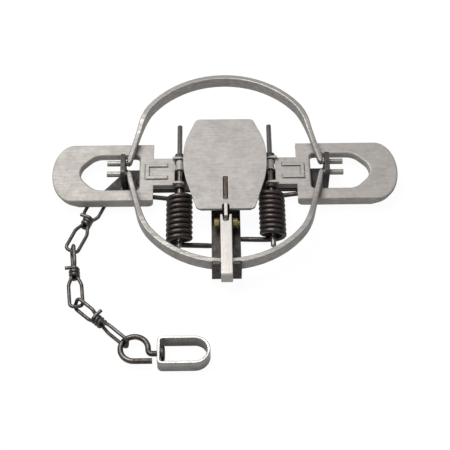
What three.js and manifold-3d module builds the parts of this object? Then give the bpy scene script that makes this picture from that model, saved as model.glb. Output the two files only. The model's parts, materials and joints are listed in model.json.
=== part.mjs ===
// A double coil spring trap in its set pose: jaws flat, levers pressed down, dog over the front jaw.
// Millimetres, +Z up, +X along the levers, -Y towards the dog. The origin is the middle of the base's underside.
import * as THREE from 'three';
import Module from 'manifold-3d';

const wasm = await Module();
wasm.setup();

// Clearances shared by all pieces
const SEAT = 0.3; // between pieces that touch
const PIN_PLAY = 0.35; // around a pin, rivet or bolt in its hole
const CUT = 1; // how far a cut runs past a face

// Base plate: a flat bar with its ends turned up as jaw posts
const BASE_T = 3.4;
const BASE_HALF = 10;
const BASE_BEND = 2;
const POST_X = 79.2; // middle of a post's thickness
const POST_TOP = 26.2;
const POST_CORNER = 3;
const LUG_Y = 15; // middle of a pin lug's thickness
const LUG_T = 2.6;
const LUG_HALF = 3.9;

// Spring pins and their spacer sleeves
const PIN_X = 35.5;
const PIN_Z = 12.8;
const PIN_R = 2;
const PIN_REAR_Y = 46.5;
const PIN_FRONT_Y = 67;
const PIN_CHAMFER = 0.5;
const SPACER_R = 3.4;
const SPACER_Y = 1;
const SPACER_LENGTH = 9;

// Levers: stamped plates with skirts, an eye, a tongue and pin ears
const LEVER_TOP = 14.2;
const LEVER_T = 2.2;
const LEVER_HALF = 26.7;
const LEVER_SHOULDER_X = 56;
const LEVER_END_X = 108; // where the round end starts
const LEVER_TIP_X = 135;
const LEVER_END_POWER = 2.6;
const SKIRT_DEPTH = 8.4;
const SKIRT_END_X = 117;
const SKIRT_CORNER = 4.5;
const EYE_INNER_X = 67;
const EYE_TAPER_X = 101;
const EYE_TIP_X = 113;
const EYE_HALF = 16.7;
const EYE_TIP_HALF = 5;
const EYE_CORNER = 3;
const TONGUE_HALF = 13;
const TONGUE_END_X = 39.4;
const EAR_T = 2;
const EAR_R = 4;
const RIB_BAR_X = 60.6;
const RIB_ARM_X = 46;
const RIB_ARM_Y = 5.9;
const RIB_HALF = 1.25;
const RIB_HEIGHT = 0.7;

// Jaws: strips on edge, bent to a bow, their ends drawn round as pivots
const JAW_PIVOT_Y = 5.2;
const JAW_PIVOT_Z = 18.4;
const JAW_STUB_R = 2.1;
const JAW_STUB_X = 91.8;
const JAW_LEG_X = 74.9;
const JAW_ELBOW_R = 1.8;
const JAW_CORNER_X = 63.8;
const JAW_CORNER_Y = 51.6;
const JAW_CORNER_EASE = 9;
const JAW_REACH = 92;
const JAW_T = 4.6;
const JAW_LEG_T = 4;
const JAW_BOW_HEIGHT = 10.5;
const JAW_LEG_HEIGHT = 5.6;
const JAW_LEG_END_Y = 29; // past the levers' rails the strip grows to its full height
const JAW_EDGE = 0.7;

// Cross arm, riveted on the base and turned up at its front end
const ARM_HALF = 11.1;
const ARM_T = 2.8;
const ARM_REAR_Y = 12;
const ARM_BEND = 2;
const ARM_TOP = 27.3;
const ARM_FROM_JAW = 0.4;
const ARM_RIVET_X = 6;
const FORK_HALF = 5;
const FORK_BOTTOM = 8.4;
const RIVET_R = 2.2;
const RIVET_HEAD_R = 4;
const RIVET_HEAD = 1.5;

// Dog
const DOG_HALF = 4.35;
const DOG_T = 2.6;
const DOG_REAR_Y = 49.8;
const DOG_PAST_JAW = 10.8; // from the bow's outer edge to the bend
const DOG_HOOK = 6.2;
const DOG_HOOK_ANGLE = 60; // degrees below the level
const DOG_BEND = 1.2;
const NOTCH_MOUTH_HALF = 2.7;
const NOTCH_ROOT_HALF = 1.9;
const NOTCH_DEPTH = 6.4;

// Pan, its shank and its bracket
const PAN_TOP = 24.2;
const PAN_T = 1.8;
const PAN_REAR_Y = 44.2;
const PAN_FRONT_Y = 43.2;
const PAN_REAR_HALF = 22.3;
const PAN_FRONT_HALF = 21.8;
const PAN_WIDE_HALF = 32.4;
const PAN_WIDE_REAR_Y = 19.5;
const PAN_WIDE_FRONT_Y = 8;
const PAN_CORNER = 3;
const PAN_LIP = 2.6;
const PAN_NOTCH_HALF = 2.9;
const PAN_NOTCH_Y = 38.5;
const PAN_SLOT_HALF = 1.9;
const PAN_SLOT_REAR_Y = 12.4;
const PAN_SLOT_FRONT_Y = 34.3;
const SHANK_T = 2.6;
const SHANK_REAR_Y = 9;
const SHANK_NOSE_Y = 50.8;
const SHANK_NOSE_TOP = 26.1;
const SHANK_NOSE_DROP = 3.6;
const SHANK_EYE_R = 4;
const BOLT_Y = 50.5;
const BOLT_Z = 15;
const BOLT_R = 2;
const BOLT_HEAD_R = 3.9;
const BOLT_HEAD = 3.8;
const BOLT_END_X = 10.4;
const NUT_R = 3.9;
const NUT_T = 3.8;
const BRACKET_T = 2;
const BRACKET_GAP_HALF = 2.8;
const BRACKET_HALF_Y = 4.6;
const BRACKET_FOOT = 13;
const BRACKET_TOP = 19.4;
const BRACKET_RIVET = 7.6; // from the bracket's front edge line

// Coil springs: right-hand form, the left one is its mirror image
const WIRE_R = 1.7;
const COIL_R = 8.6;
const COIL_TURNS = 7;
const COIL_PITCH = 5.7;
const COIL_REAR_Y = 18.4;
const COIL_REAR_Y_LEFT = 20.3;
const COIL_LEG_X = 68;
const COIL_INNER_X = 4.5;
const COIL_STEPS = 8;
const COIL_SIDES = 5;

// Chain clip, links and swivel
const CLIP_T = 2.2;
const CLIP_RIVET_X = 66;
const CLIP_RIVET_Y = 3.5;
const CLIP_BORE = 1.9;
const CLIP_WALL = 1.4;
const CLIP_EYE_HALF = 2.2;
const LINK_WIRE_R = 1.35;
const LINK_LENGTH = 55;
const LINK_HALF = 4.9; // between the middles of the wire and of the loop
const LINK_WIDE_HALF = 6; // of the loop in the clip
const LINK_WAIST_SHARE = 0.3; // of the loop's width where it leaves the knot
const LINK_SPREAD_SHARE = 0.4; // of the loop's length that it takes to spread
const LINK_CORNER = 3;
const LINK_OVERLAP = 5.85;
const KNOT_SHARE = 0.45;
const KNOT_R = 2.9;
const KNOT_TURNS = 2.75;
const KNOT_TAIL = 6.6;
const EYE_WIRE_R = 2.1;
const EYE_RING_R = 10;
const EYE_FROM_LINK_X = 5.122; // from the last link's end to the middle of the ring
const EYE_FROM_LINK_Y = -3.888;
const EYE_SHANK_BEND = 3;
const EYE_HEAD_X = 21.4; // these reaches are from the middle of the ring
const EYE_HEAD_R = 4.4;
const EYE_HEAD = 3;
const SWIVEL_X = 17.7;
const SWIVEL_END_X = 54.8;
const SWIVEL_Y = 4.1;
const SWIVEL_HALF = 11.4;
const SWIVEL_HEIGHT = 11.8;
const SWIVEL_T = 2.3;
const SWIVEL_CORNER = 3;

const solid = (geometry) => {
  const { array, count } = geometry.attributes.position;
  const places = new Map();
  const vertices = [];
  const merged = [];
  for (let i = 0; i < count; i++) {
    const point = [array[3 * i], array[3 * i + 1], array[3 * i + 2]];
    const key = point.map((value) => Math.round(value * 1e4)).join();
    if (!places.has(key)) {
      places.set(key, vertices.length / 3);
      vertices.push(...point);
    }
    merged.push(places.get(key));
  }
  const order = geometry.index ? Array.from(geometry.index.array, (i) => merged[i]) : merged;
  const triangles = [];
  for (let i = 0; i < order.length; i += 3) {
    const [a, b, c] = order.slice(i, i + 3);
    if (a !== b && b !== c && c !== a) triangles.push(a, b, c);
  }
  const made = new wasm.Manifold(new wasm.Mesh({
    numProp: 3, vertProperties: new Float32Array(vertices), triVerts: new Uint32Array(triangles),
  }));
  return made;
};

const geometryOf = (form) => {
  const { vertProperties, triVerts } = form.getMesh();
  const geometry = new THREE.BufferGeometry();
  geometry.setAttribute('position', new THREE.BufferAttribute(new Float32Array(vertProperties), 3));
  geometry.setIndex(new THREE.BufferAttribute(new Uint32Array(triVerts), 1));
  geometry.computeVertexNormals();
  return geometry;
};

const joined = (...forms) => forms.reduce((a, b) => a.add(b));
const cutBy = (form, ...tools) => tools.reduce((a, b) => a.subtract(b), form);

// A flat outline drawn in one plane and given a thickness along the third axis, from `from` to `to`.
const basis = {
  z: new THREE.Matrix4(),
  x: new THREE.Matrix4().makeBasis(
    new THREE.Vector3(0, 1, 0), new THREE.Vector3(0, 0, 1), new THREE.Vector3(1, 0, 0)),
  y: new THREE.Matrix4().makeBasis(
    new THREE.Vector3(1, 0, 0), new THREE.Vector3(0, 0, 1), new THREE.Vector3(0, -1, 0)),
};
const slab = (shape, along, from, to, curveSegments = 8) => {
  const geometry = new THREE.ExtrudeGeometry(shape, { depth: to - from, bevelEnabled: false, curveSegments });
  geometry.translate(0, 0, along === 'y' ? -to : from);
  geometry.applyMatrix4(basis[along]);
  return solid(geometry);
};

// A polygon whose corners are rounded by the radius given with each point, or by a shared one.
const rounded = (points, radius = 0) => {
  const shape = new THREE.Shape();
  const count = points.length;
  points.forEach(([x, y, own], i) => {
    const r = own ?? radius;
    const here = new THREE.Vector2(x, y);
    if (!r) {
      if (i) shape.lineTo(x, y);
      else shape.moveTo(x, y);
      return;
    }
    const before = new THREE.Vector2(...points[(i + count - 1) % count].slice(0, 2)).sub(here);
    const after = new THREE.Vector2(...points[(i + 1) % count].slice(0, 2)).sub(here);
    const half = Math.acos(before.clone().normalize().dot(after.clone().normalize())) / 2;
    const back = Math.min(r / Math.tan(half), before.length() / 2, after.length() / 2);
    const start = here.clone().add(before.setLength(back));
    const end = here.clone().add(after.setLength(back));
    if (i) shape.lineTo(start.x, start.y);
    else shape.moveTo(start.x, start.y);
    shape.quadraticCurveTo(x, y, end.x, end.y);
  });
  shape.closePath();
  return shape;
};

const rectangle = (x0, y0, x1, y1, r = 0) => rounded([[x0, y0], [x1, y0], [x1, y1], [x0, y1]], r);
const circle = (x, y, r) => new THREE.Shape().absarc(x, y, r, 0, 2 * Math.PI);

// The outline of a bent strip: its middle line with half the thickness to each side, bends rounded.
const strip = (path, thickness, bend) => {
  const side = (sign) => path.map(([x, y], i) => {
    const here = new THREE.Vector2(x, y);
    const to = (k) => new THREE.Vector2(...path[k]).sub(here).normalize();
    const before = i ? to(i - 1).negate() : to(i + 1);
    const after = i < path.length - 1 ? to(i + 1) : before;
    const middle = before.clone().add(after).normalize();
    const reach = (sign * thickness) / 2 / middle.dot(before);
    const turn = before.cross(after);
    const inner = turn * sign > 0;
    const ends = i === 0 || i === path.length - 1;
    return [x - middle.y * reach, y + middle.x * reach, ends ? 0 : inner ? bend : bend + thickness];
  });
  return rounded([...side(-1), ...side(1).reverse()]);
};

// A loft through rings of points; a closed loft joins its last ring to its first.
const loft = (rings, closed = false) => {
  const sides = rings[0].length;
  const vertices = rings.flat().flatMap((p) => [p.x, p.y, p.z]);
  const triangles = [];
  const last = closed ? rings.length : rings.length - 1;
  for (let i = 0; i < last; i++) {
    const next = (i + 1) % rings.length;
    for (let k = 0; k < sides; k++) {
      const m = (k + 1) % sides;
      const [a, b, c, d] = [i * sides + k, i * sides + m, next * sides + m, next * sides + k];
      triangles.push(a, b, c, a, c, d);
    }
  }
  if (!closed) {
    const end = (rings.length - 1) * sides;
    for (let k = 1; k < sides - 1; k++) {
      triangles.push(0, k + 1, k, end, end + k, end + k + 1);
    }
  }
  let volume = 0;
  const at = (i) => new THREE.Vector3(...vertices.slice(3 * i, 3 * i + 3));
  for (let i = 0; i < triangles.length; i += 3) {
    volume += at(triangles[i]).dot(at(triangles[i + 1]).cross(at(triangles[i + 2])));
  }
  if (volume < 0) {
    for (let i = 0; i < triangles.length; i += 3) {
      [triangles[i + 1], triangles[i + 2]] = [triangles[i + 2], triangles[i + 1]];
    }
  }
  const geometry = new THREE.BufferGeometry();
  geometry.setAttribute('position', new THREE.BufferAttribute(new Float32Array(vertices), 3));
  geometry.setIndex(triangles);
  return solid(geometry);
};

// Rings square to a path of points. section(i) gives [side, up] pairs; up starts near the given direction.
const ringsAlong = (points, section, closed = false, startUp = new THREE.Vector3(0, 0, 1)) => {
  const up = startUp.clone();
  const count = points.length;
  return points.map((point, i) => {
    const before = points[closed ? (i + count - 1) % count : Math.max(i - 1, 0)];
    const after = points[closed ? (i + 1) % count : Math.min(i + 1, count - 1)];
    const tangent = after.clone().sub(before).normalize();
    up.addScaledVector(tangent, -up.dot(tangent)).normalize();
    const side = tangent.clone().cross(up);
    return section(i).map(([s, u]) => point.clone().addScaledVector(side, s).addScaledVector(up, u));
  });
};

const roundSection = (radius, sides) => Array.from({ length: sides }, (_, k) => {
  const angle = (2 * Math.PI * (k + 0.5)) / sides;
  return [radius * Math.cos(angle), radius * Math.sin(angle)];
});

const tube = (points, radius, sides, closed = false) =>
  loft(ringsAlong(points, () => roundSection(radius, sides), closed), closed);

// The points of a path that lie at least this far from the one before.
const spaced = (points, least) => points.reduce((kept, p) => {
  if (!kept.length || kept[kept.length - 1].distanceTo(p) > least) kept.push(p);
  return kept;
}, []);

const flat = (points, z = 0) => points.map((p) => new THREE.Vector3(p.x, p.y, z));

// A turned piece about an axis through `at`; the profile is [radius, distance along the axis].
const turned = (profile, direction, at, segments = 20) => {
  const points = profile.map(([r, h]) => new THREE.Vector2(r, h));
  const geometry = new THREE.LatheGeometry(points, segments);
  const turn = new THREE.Quaternion().setFromUnitVectors(new THREE.Vector3(0, 1, 0), direction);
  geometry.applyQuaternion(turn).translate(...at);
  return solid(geometry);
};
const X = new THREE.Vector3(1, 0, 0);
const Y = new THREE.Vector3(0, 1, 0);
const Z = new THREE.Vector3(0, 0, 1);

const mirrored = (form) => form.mirror([1, 0, 0]);

// Base plate
const wallLug = (y) => {
  const shape = rounded([
    [PIN_X - LUG_HALF, BASE_T / 2], [PIN_X + LUG_HALF, BASE_T / 2],
    [PIN_X + LUG_HALF, PIN_Z + LUG_HALF, LUG_HALF], [PIN_X - LUG_HALF, PIN_Z + LUG_HALF, LUG_HALF],
  ]);
  return slab(shape, 'y', y - LUG_T / 2, y + LUG_T / 2);
};

const basePlate = () => {
  const middle = BASE_T / 2;
  const bar = slab(
    strip([[-POST_X, POST_TOP], [-POST_X, middle], [POST_X, middle], [POST_X, POST_TOP]], BASE_T, BASE_BEND),
    'y', -BASE_HALF, BASE_HALF);
  const outline = slab(
    rounded([[-BASE_HALF, -CUT], [BASE_HALF, -CUT], [BASE_HALF, POST_TOP, POST_CORNER],
      [-BASE_HALF, POST_TOP, POST_CORNER]]),
    'x', -POST_X - BASE_T, POST_X + BASE_T);
  const lugs = [-1, 1].flatMap((x) => {
    const wing = slab(
      rectangle(PIN_X - LUG_HALF, -LUG_Y, PIN_X + LUG_HALF, LUG_Y), 'z', 0, BASE_T);
    const pair = joined(wing, wallLug(-LUG_Y), wallLug(LUG_Y));
    return x > 0 ? pair : mirrored(pair);
  });
  const edge = slab(
    rounded([[-LUG_Y - LUG_T / 2, 0, BASE_BEND], [LUG_Y + LUG_T / 2, 0, BASE_BEND],
      [LUG_Y + LUG_T / 2, POST_TOP + CUT], [-LUG_Y - LUG_T / 2, POST_TOP + CUT]]),
    'x', -POST_X - BASE_T, POST_X + BASE_T);
  const holes = [-1, 1].flatMap((y) => [
    turned([[0, -POST_X - BASE_T], [JAW_STUB_R + PIN_PLAY, -POST_X - BASE_T],
      [JAW_STUB_R + PIN_PLAY, POST_X + BASE_T], [0, POST_X + BASE_T]],
    X, [0, y * JAW_PIVOT_Y, JAW_PIVOT_Z]),
    turned([[0, -LUG_Y - LUG_T], [PIN_R + PIN_PLAY, -LUG_Y - LUG_T],
      [PIN_R + PIN_PLAY, LUG_Y + LUG_T], [0, LUG_Y + LUG_T]],
    Y, [y * PIN_X, 0, PIN_Z]),
    rivetHole(y * ARM_RIVET_X, 0, -CUT, BASE_T + CUT),
  ]);
  const clipHole = rivetHole(-CLIP_RIVET_X, -CLIP_RIVET_Y, -CUT, BASE_T + CUT);
  return cutBy(joined(bar.intersect(outline), ...lugs).intersect(edge), ...holes, clipHole);
};

const rivetHole = (x, y, from, to) => {
  const r = RIVET_R + PIN_PLAY;
  return turned([[0, from], [r, from], [r, to], [0, to]], Z, [x, y, 0]);
};

// A rivet through plates from `low` to `high`, with a domed head above.
const rivet = (x, y, low, high) => {
  const base = high + SEAT;
  const dome = [0.25, 0.5, 0.75].map((share) => [
    RIVET_HEAD_R * Math.cos((share * Math.PI) / 2), base + RIVET_HEAD * Math.sin((share * Math.PI) / 2)]);
  return turned(
    [[0, low], [RIVET_R, low], [RIVET_R, base], [RIVET_HEAD_R, base], ...dome, [0, base + RIVET_HEAD]],
    Z, [x, y, 0]);
};

// Cross arm
const armBottom = BASE_T + SEAT;
const armTop = armBottom + ARM_T;
const armFaceY = JAW_REACH + ARM_FROM_JAW + ARM_T / 2; // middle of the turned-up end

const crossArm = () => {
  const middle = armBottom + ARM_T / 2;
  const bar = slab(
    strip([[ARM_REAR_Y, middle], [-armFaceY, middle], [-armFaceY, ARM_TOP]], ARM_T, ARM_BEND),
    'x', -ARM_HALF, ARM_HALF);
  const outline = slab(
    rounded([[-ARM_HALF, -CUT], [ARM_HALF, -CUT], [ARM_HALF, ARM_TOP, BASE_BEND], [-ARM_HALF, ARM_TOP, BASE_BEND]]),
    'y', -armFaceY - ARM_T, ARM_REAR_Y + CUT);
  const fork = slab(
    rounded([[-FORK_HALF, FORK_BOTTOM, BASE_BEND], [FORK_HALF, FORK_BOTTOM, BASE_BEND],
      [FORK_HALF, ARM_TOP + CUT], [-FORK_HALF, ARM_TOP + CUT]]),
    'y', -armFaceY - ARM_T, -armFaceY + ARM_T);
  const holes = [
    rivetHole(-ARM_RIVET_X, 0, armBottom - CUT, armTop + CUT),
    rivetHole(ARM_RIVET_X, 0, armBottom - CUT, armTop + CUT),
    rivetHole(0, bracketRivetY, armBottom - CUT, armTop + CUT),
  ];
  return cutBy(bar.intersect(outline), fork, ...holes);
};

// Pan bracket: two ears on the cross arm with a foot towards the dog
const bracketBottom = armTop + SEAT;
const bracketOuter = BRACKET_GAP_HALF + BRACKET_T;
const bracketFrontY = BOLT_Y + BRACKET_HALF_Y + BRACKET_FOOT;
const bracketRivetY = -bracketFrontY + BRACKET_RIVET;

const panBracket = () => {
  const middle = bracketBottom + BRACKET_T / 2;
  const line = BRACKET_GAP_HALF + BRACKET_T / 2;
  const ears = slab(
    strip([[-line, BRACKET_TOP], [-line, middle], [line, middle], [line, BRACKET_TOP]], BRACKET_T, BRACKET_T / 2),
    'y', -BOLT_Y - BRACKET_HALF_Y, -BOLT_Y + BRACKET_HALF_Y);
  const outline = slab(
    rounded([[-BOLT_Y - BRACKET_HALF_Y, bracketBottom - CUT], [-BOLT_Y + BRACKET_HALF_Y, bracketBottom - CUT],
      [-BOLT_Y + BRACKET_HALF_Y, BRACKET_TOP, BRACKET_HALF_Y],
      [-BOLT_Y - BRACKET_HALF_Y, BRACKET_TOP, BRACKET_HALF_Y]]),
    'x', -bracketOuter, bracketOuter);
  const foot = slab(
    rounded([[-bracketOuter, -bracketFrontY, BRACKET_T], [bracketOuter, -bracketFrontY, BRACKET_T],
      [bracketOuter, -BOLT_Y], [-bracketOuter, -BOLT_Y]]),
    'z', bracketBottom, bracketBottom + BRACKET_T);
  return cutBy(joined(ears.intersect(outline), foot),
    boltHole(bracketOuter + CUT), rivetHole(0, bracketRivetY, bracketBottom - CUT, bracketBottom + BRACKET_T + CUT));
};

const boltHole = (half) => {
  const r = BOLT_R + PIN_PLAY;
  return turned([[0, -half], [r, -half], [r, half], [0, half]], X, [0, -BOLT_Y, BOLT_Z]);
};

const hexagon = (radius, from, to) => {
  const points = Array.from({ length: 6 }, (_, k) => {
    const angle = (Math.PI / 3) * (k + 0.5);
    return [-BOLT_Y + radius * Math.cos(angle), BOLT_Z + radius * Math.sin(angle)];
  });
  return slab(rounded(points), 'x', from, to);
};

const panBolt = () => {
  const seat = -bracketOuter - SEAT;
  const shank = turned([[0, seat - BOLT_HEAD / 2], [BOLT_R, seat - BOLT_HEAD / 2], [BOLT_R, BOLT_END_X],
    [0, BOLT_END_X]], X, [0, -BOLT_Y, BOLT_Z], 16);
  return joined(hexagon(BOLT_HEAD_R, seat - BOLT_HEAD, seat), shank);
};

const panNut = () => {
  const seat = bracketOuter + SEAT;
  return cutBy(hexagon(NUT_R, seat, seat + NUT_T), boltHole(BOLT_END_X));
};

// Pan
const pan = () => {
  const corners = (y, half) => [[half, y], [-half, y]];
  const outline = rounded([
    [PAN_REAR_HALF, PAN_REAR_Y], [-PAN_REAR_HALF, PAN_REAR_Y],
    [-PAN_WIDE_HALF, PAN_WIDE_REAR_Y], [-PAN_WIDE_HALF, -PAN_WIDE_FRONT_Y],
    ...corners(-PAN_FRONT_Y, -PAN_FRONT_HALF),
    [PAN_WIDE_HALF, -PAN_WIDE_FRONT_Y], [PAN_WIDE_HALF, PAN_WIDE_REAR_Y],
  ], PAN_CORNER);
  const under = PAN_TOP - PAN_T;
  const plate = slab(outline, 'z', under, PAN_TOP);
  const lip = slab(
    rectangle(-PAN_FRONT_HALF + PAN_CORNER, -PAN_FRONT_Y, PAN_FRONT_HALF - PAN_CORNER, -PAN_FRONT_Y + PAN_T),
    'z', PAN_TOP - PAN_LIP, PAN_TOP - PAN_T / 2);
  const notch = slab(
    rounded([[-PAN_NOTCH_HALF, -PAN_FRONT_Y - CUT], [PAN_NOTCH_HALF, -PAN_FRONT_Y - CUT],
      [PAN_NOTCH_HALF, -PAN_NOTCH_Y, PAN_NOTCH_HALF / 2], [-PAN_NOTCH_HALF, -PAN_NOTCH_Y, PAN_NOTCH_HALF / 2]]),
    'z', PAN_TOP - PAN_LIP - CUT, PAN_TOP + CUT);
  const slot = slab(
    rectangle(-PAN_SLOT_HALF, -PAN_SLOT_FRONT_Y, PAN_SLOT_HALF, -PAN_SLOT_REAR_Y, PAN_SLOT_HALF / 4),
    'z', under - CUT, PAN_TOP + CUT);
  return cutBy(joined(plate, lip), notch, slot);
};

// Pan shank: a plate on edge whose nose reaches into the dog's fork
const panShank = () => {
  const under = PAN_TOP - PAN_T - SEAT;
  const noseLow = SHANK_NOSE_TOP - SHANK_NOSE_DROP;
  const blade = rounded([
    [-SHANK_REAR_Y, under], [-PAN_NOTCH_Y - SEAT, under], [-PAN_NOTCH_Y - SEAT * 2, SHANK_NOSE_TOP],
    [-SHANK_NOSE_Y, SHANK_NOSE_TOP, SHANK_NOSE_DROP / 3], [-SHANK_NOSE_Y, noseLow, SHANK_NOSE_DROP / 3],
    [-BOLT_Y + SHANK_EYE_R / 2, noseLow - SHANK_NOSE_DROP / 3],
    [-BOLT_Y - SHANK_EYE_R, BOLT_Z + SHANK_EYE_R / 3], [-BOLT_Y - SHANK_EYE_R, BOLT_Z - SHANK_EYE_R, SHANK_EYE_R],
    [-BOLT_Y + SHANK_EYE_R, BOLT_Z - SHANK_EYE_R, SHANK_EYE_R], [-BOLT_Y + SHANK_EYE_R * 2, BOLT_Z],
    [-SHANK_REAR_Y, under - SHANK_T],
  ]);
  const key = rectangle(-PAN_SLOT_FRONT_Y + SEAT, under - SHANK_T / 2, -PAN_SLOT_REAR_Y - SEAT, PAN_TOP - SEAT);
  const half = SHANK_T / 2;
  return cutBy(joined(slab(blade, 'x', -half, half), slab(key, 'x', -half, half)), boltHole(SHANK_T));
};

// Dog
const dogUnder = JAW_PIVOT_Z + JAW_BOW_HEIGHT / 2 + SEAT;
const dogBendY = JAW_REACH + DOG_PAST_JAW;
const dog = () => {
  const middle = dogUnder + DOG_T / 2;
  const drop = THREE.MathUtils.degToRad(DOG_HOOK_ANGLE);
  const bar = slab(
    strip([[-DOG_REAR_Y, middle], [-dogBendY, middle],
      [-dogBendY - DOG_HOOK * Math.cos(drop), middle - DOG_HOOK * Math.sin(drop)]], DOG_T, DOG_BEND),
    'x', -DOG_HALF, DOG_HALF);
  const notch = slab(
    rounded([[-NOTCH_MOUTH_HALF, -DOG_REAR_Y + CUT], [-NOTCH_MOUTH_HALF, -DOG_REAR_Y],
      [-NOTCH_ROOT_HALF, -DOG_REAR_Y - NOTCH_DEPTH, NOTCH_ROOT_HALF],
      [NOTCH_ROOT_HALF, -DOG_REAR_Y - NOTCH_DEPTH, NOTCH_ROOT_HALF],
      [NOTCH_MOUTH_HALF, -DOG_REAR_Y], [NOTCH_MOUTH_HALF, -DOG_REAR_Y + CUT]]),
    'z', dogUnder - CUT, dogUnder + DOG_T + CUT);
  return cutBy(bar, notch);
};

// Spring pin and spacer, on the right side
const springPin = () => {
  const length = PIN_REAR_Y + PIN_FRONT_Y;
  return turned([[0, 0], [PIN_R - PIN_CHAMFER, 0], [PIN_R, PIN_CHAMFER], [PIN_R, length - PIN_CHAMFER],
    [PIN_R - PIN_CHAMFER, length], [0, length]], Y, [PIN_X, -PIN_FRONT_Y, PIN_Z], 16);
};
const spacer = () => {
  const r = PIN_R + PIN_PLAY;
  return turned([[r, 0], [SPACER_R, 0], [SPACER_R, SPACER_LENGTH], [r, SPACER_LENGTH], [r, 0]],
    Y, [PIN_X, SPACER_Y, PIN_Z], 16);
};

// Lever, on the right side
const leverUnder = LEVER_TOP - LEVER_T;
const endOutline = (sign, steps = 10) => Array.from({ length: steps + 1 }, (_, i) => {
  const angle = ((sign > 0 ? steps - i : i) / steps) * (Math.PI / 2);
  const power = 2 / LEVER_END_POWER;
  return [
    LEVER_END_X + (LEVER_TIP_X - LEVER_END_X) * Math.cos(angle) ** power,
    sign * LEVER_HALF * Math.sin(angle) ** power,
  ];
});
const lever = () => {
  const tip = endOutline(-1).reverse();
  const outline = rounded([
    [TONGUE_END_X, -TONGUE_HALF], [LEVER_SHOULDER_X, -TONGUE_HALF, EAR_T],
    [LEVER_SHOULDER_X, -LEVER_HALF, EAR_T], ...tip, ...endOutline(1).reverse().slice(1),
    [LEVER_SHOULDER_X, LEVER_HALF, EAR_T], [LEVER_SHOULDER_X, TONGUE_HALF, EAR_T], [TONGUE_END_X, TONGUE_HALF],
  ]);
  const plate = slab(outline, 'z', leverUnder, LEVER_TOP);
  const skirt = (y) => slab(
    rounded([[LEVER_SHOULDER_X, LEVER_TOP - SKIRT_DEPTH, SKIRT_CORNER],
      [SKIRT_END_X, LEVER_TOP - SKIRT_DEPTH, SKIRT_CORNER], [SKIRT_END_X, leverUnder + LEVER_T / 2],
      [LEVER_SHOULDER_X, leverUnder + LEVER_T / 2]]),
    'y', Math.min(y, y - Math.sign(y) * LEVER_T), Math.max(y, y - Math.sign(y) * LEVER_T));
  const ears = [-1, 1].map((sign) => {
    const outer = sign * TONGUE_HALF;
    const inner = sign * (TONGUE_HALF - EAR_T);
    const shape = rounded([
      [PIN_X - EAR_R, PIN_Z - EAR_R, EAR_R], [LEVER_SHOULDER_X, leverUnder - EAR_R],
      [LEVER_SHOULDER_X, leverUnder + LEVER_T / 2], [TONGUE_END_X, leverUnder + LEVER_T / 2],
      [PIN_X + EAR_R, PIN_Z + EAR_R, EAR_R], [PIN_X - EAR_R, PIN_Z + EAR_R, EAR_R],
    ]);
    return slab(shape, 'y', Math.min(outer, inner), Math.max(outer, inner));
  });
  const eye = slab(
    rounded([[EYE_INNER_X, -EYE_HALF, EYE_CORNER], [EYE_TAPER_X, -EYE_HALF, EYE_HALF],
      [EYE_TIP_X, -EYE_TIP_HALF, EYE_CORNER / 2], [EYE_TIP_X, EYE_TIP_HALF, EYE_CORNER / 2],
      [EYE_TAPER_X, EYE_HALF, EYE_HALF], [EYE_INNER_X, EYE_HALF, EYE_CORNER]]),
    'z', leverUnder - CUT, LEVER_TOP + CUT);
  const ribPath = [
    new THREE.Vector3(RIB_ARM_X, -RIB_ARM_Y, LEVER_TOP), new THREE.Vector3(RIB_BAR_X, -RIB_ARM_Y, LEVER_TOP),
    new THREE.Vector3(RIB_BAR_X, RIB_ARM_Y, LEVER_TOP), new THREE.Vector3(RIB_ARM_X, RIB_ARM_Y, LEVER_TOP)];
  const ribSection = [[-RIB_HALF, -RIB_HEIGHT], [-RIB_HALF, 0], [-RIB_HALF / 2, RIB_HEIGHT],
    [RIB_HALF / 2, RIB_HEIGHT], [RIB_HALF, 0], [RIB_HALF, -RIB_HEIGHT]];
  const ribs = [0, 1, 2].map((i) => {
    const [a, b] = [ribPath[i], ribPath[i + 1]];
    const reach = b.clone().sub(a).setLength(RIB_HALF);
    return loft(ringsAlong([a.clone().sub(reach), b.clone().add(reach)], () => ribSection));
  });
  const pinHole = turned([[0, -LUG_Y], [PIN_R + PIN_PLAY, -LUG_Y], [PIN_R + PIN_PLAY, LUG_Y], [0, LUG_Y]],
    Y, [PIN_X, 0, PIN_Z]);
  return cutBy(joined(plate, skirt(-LEVER_HALF), skirt(LEVER_HALF), ...ears, ...ribs), eye, pinHole);
};

// Coil spring, on the right side: one wire, an outer leg under the lever and an inner leg under the cross arm
const springPath = (rearY) => {
  const points = [];
  const bottom = PIN_Z - COIL_R;
  const legTop = leverUnder - SEAT - WIRE_R;
  const legBottom = armBottom - SEAT - WIRE_R;
  const rise = Math.atan2(legTop - bottom, COIL_LEG_X - PIN_X);
  const dip = Math.atan2(bottom - legBottom, PIN_X - ARM_HALF);
  points.push(new THREE.Vector3(COIL_LEG_X, -rearY, legTop));
  points.push(new THREE.Vector3((COIL_LEG_X + PIN_X) / 2, -rearY, (legTop + bottom) / 2));
  const steps = COIL_TURNS * COIL_STEPS;
  for (let i = 0; i <= steps; i++) {
    const start = -Math.PI / 2 + rise;
    const end = -Math.PI / 2 - 2 * Math.PI * COIL_TURNS + dip;
    const angle = start + ((end - start) * i) / steps;
    const y = -rearY - (COIL_PITCH * COIL_TURNS * i) / steps;
    points.push(new THREE.Vector3(PIN_X + COIL_R * Math.cos(angle), y, PIN_Z + COIL_R * Math.sin(angle)));
  }
  const { y } = points[points.length - 1];
  points.push(new THREE.Vector3(ARM_HALF, y, legBottom));
  points.push(new THREE.Vector3(COIL_INNER_X, y, legBottom));
  return points;
};

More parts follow.
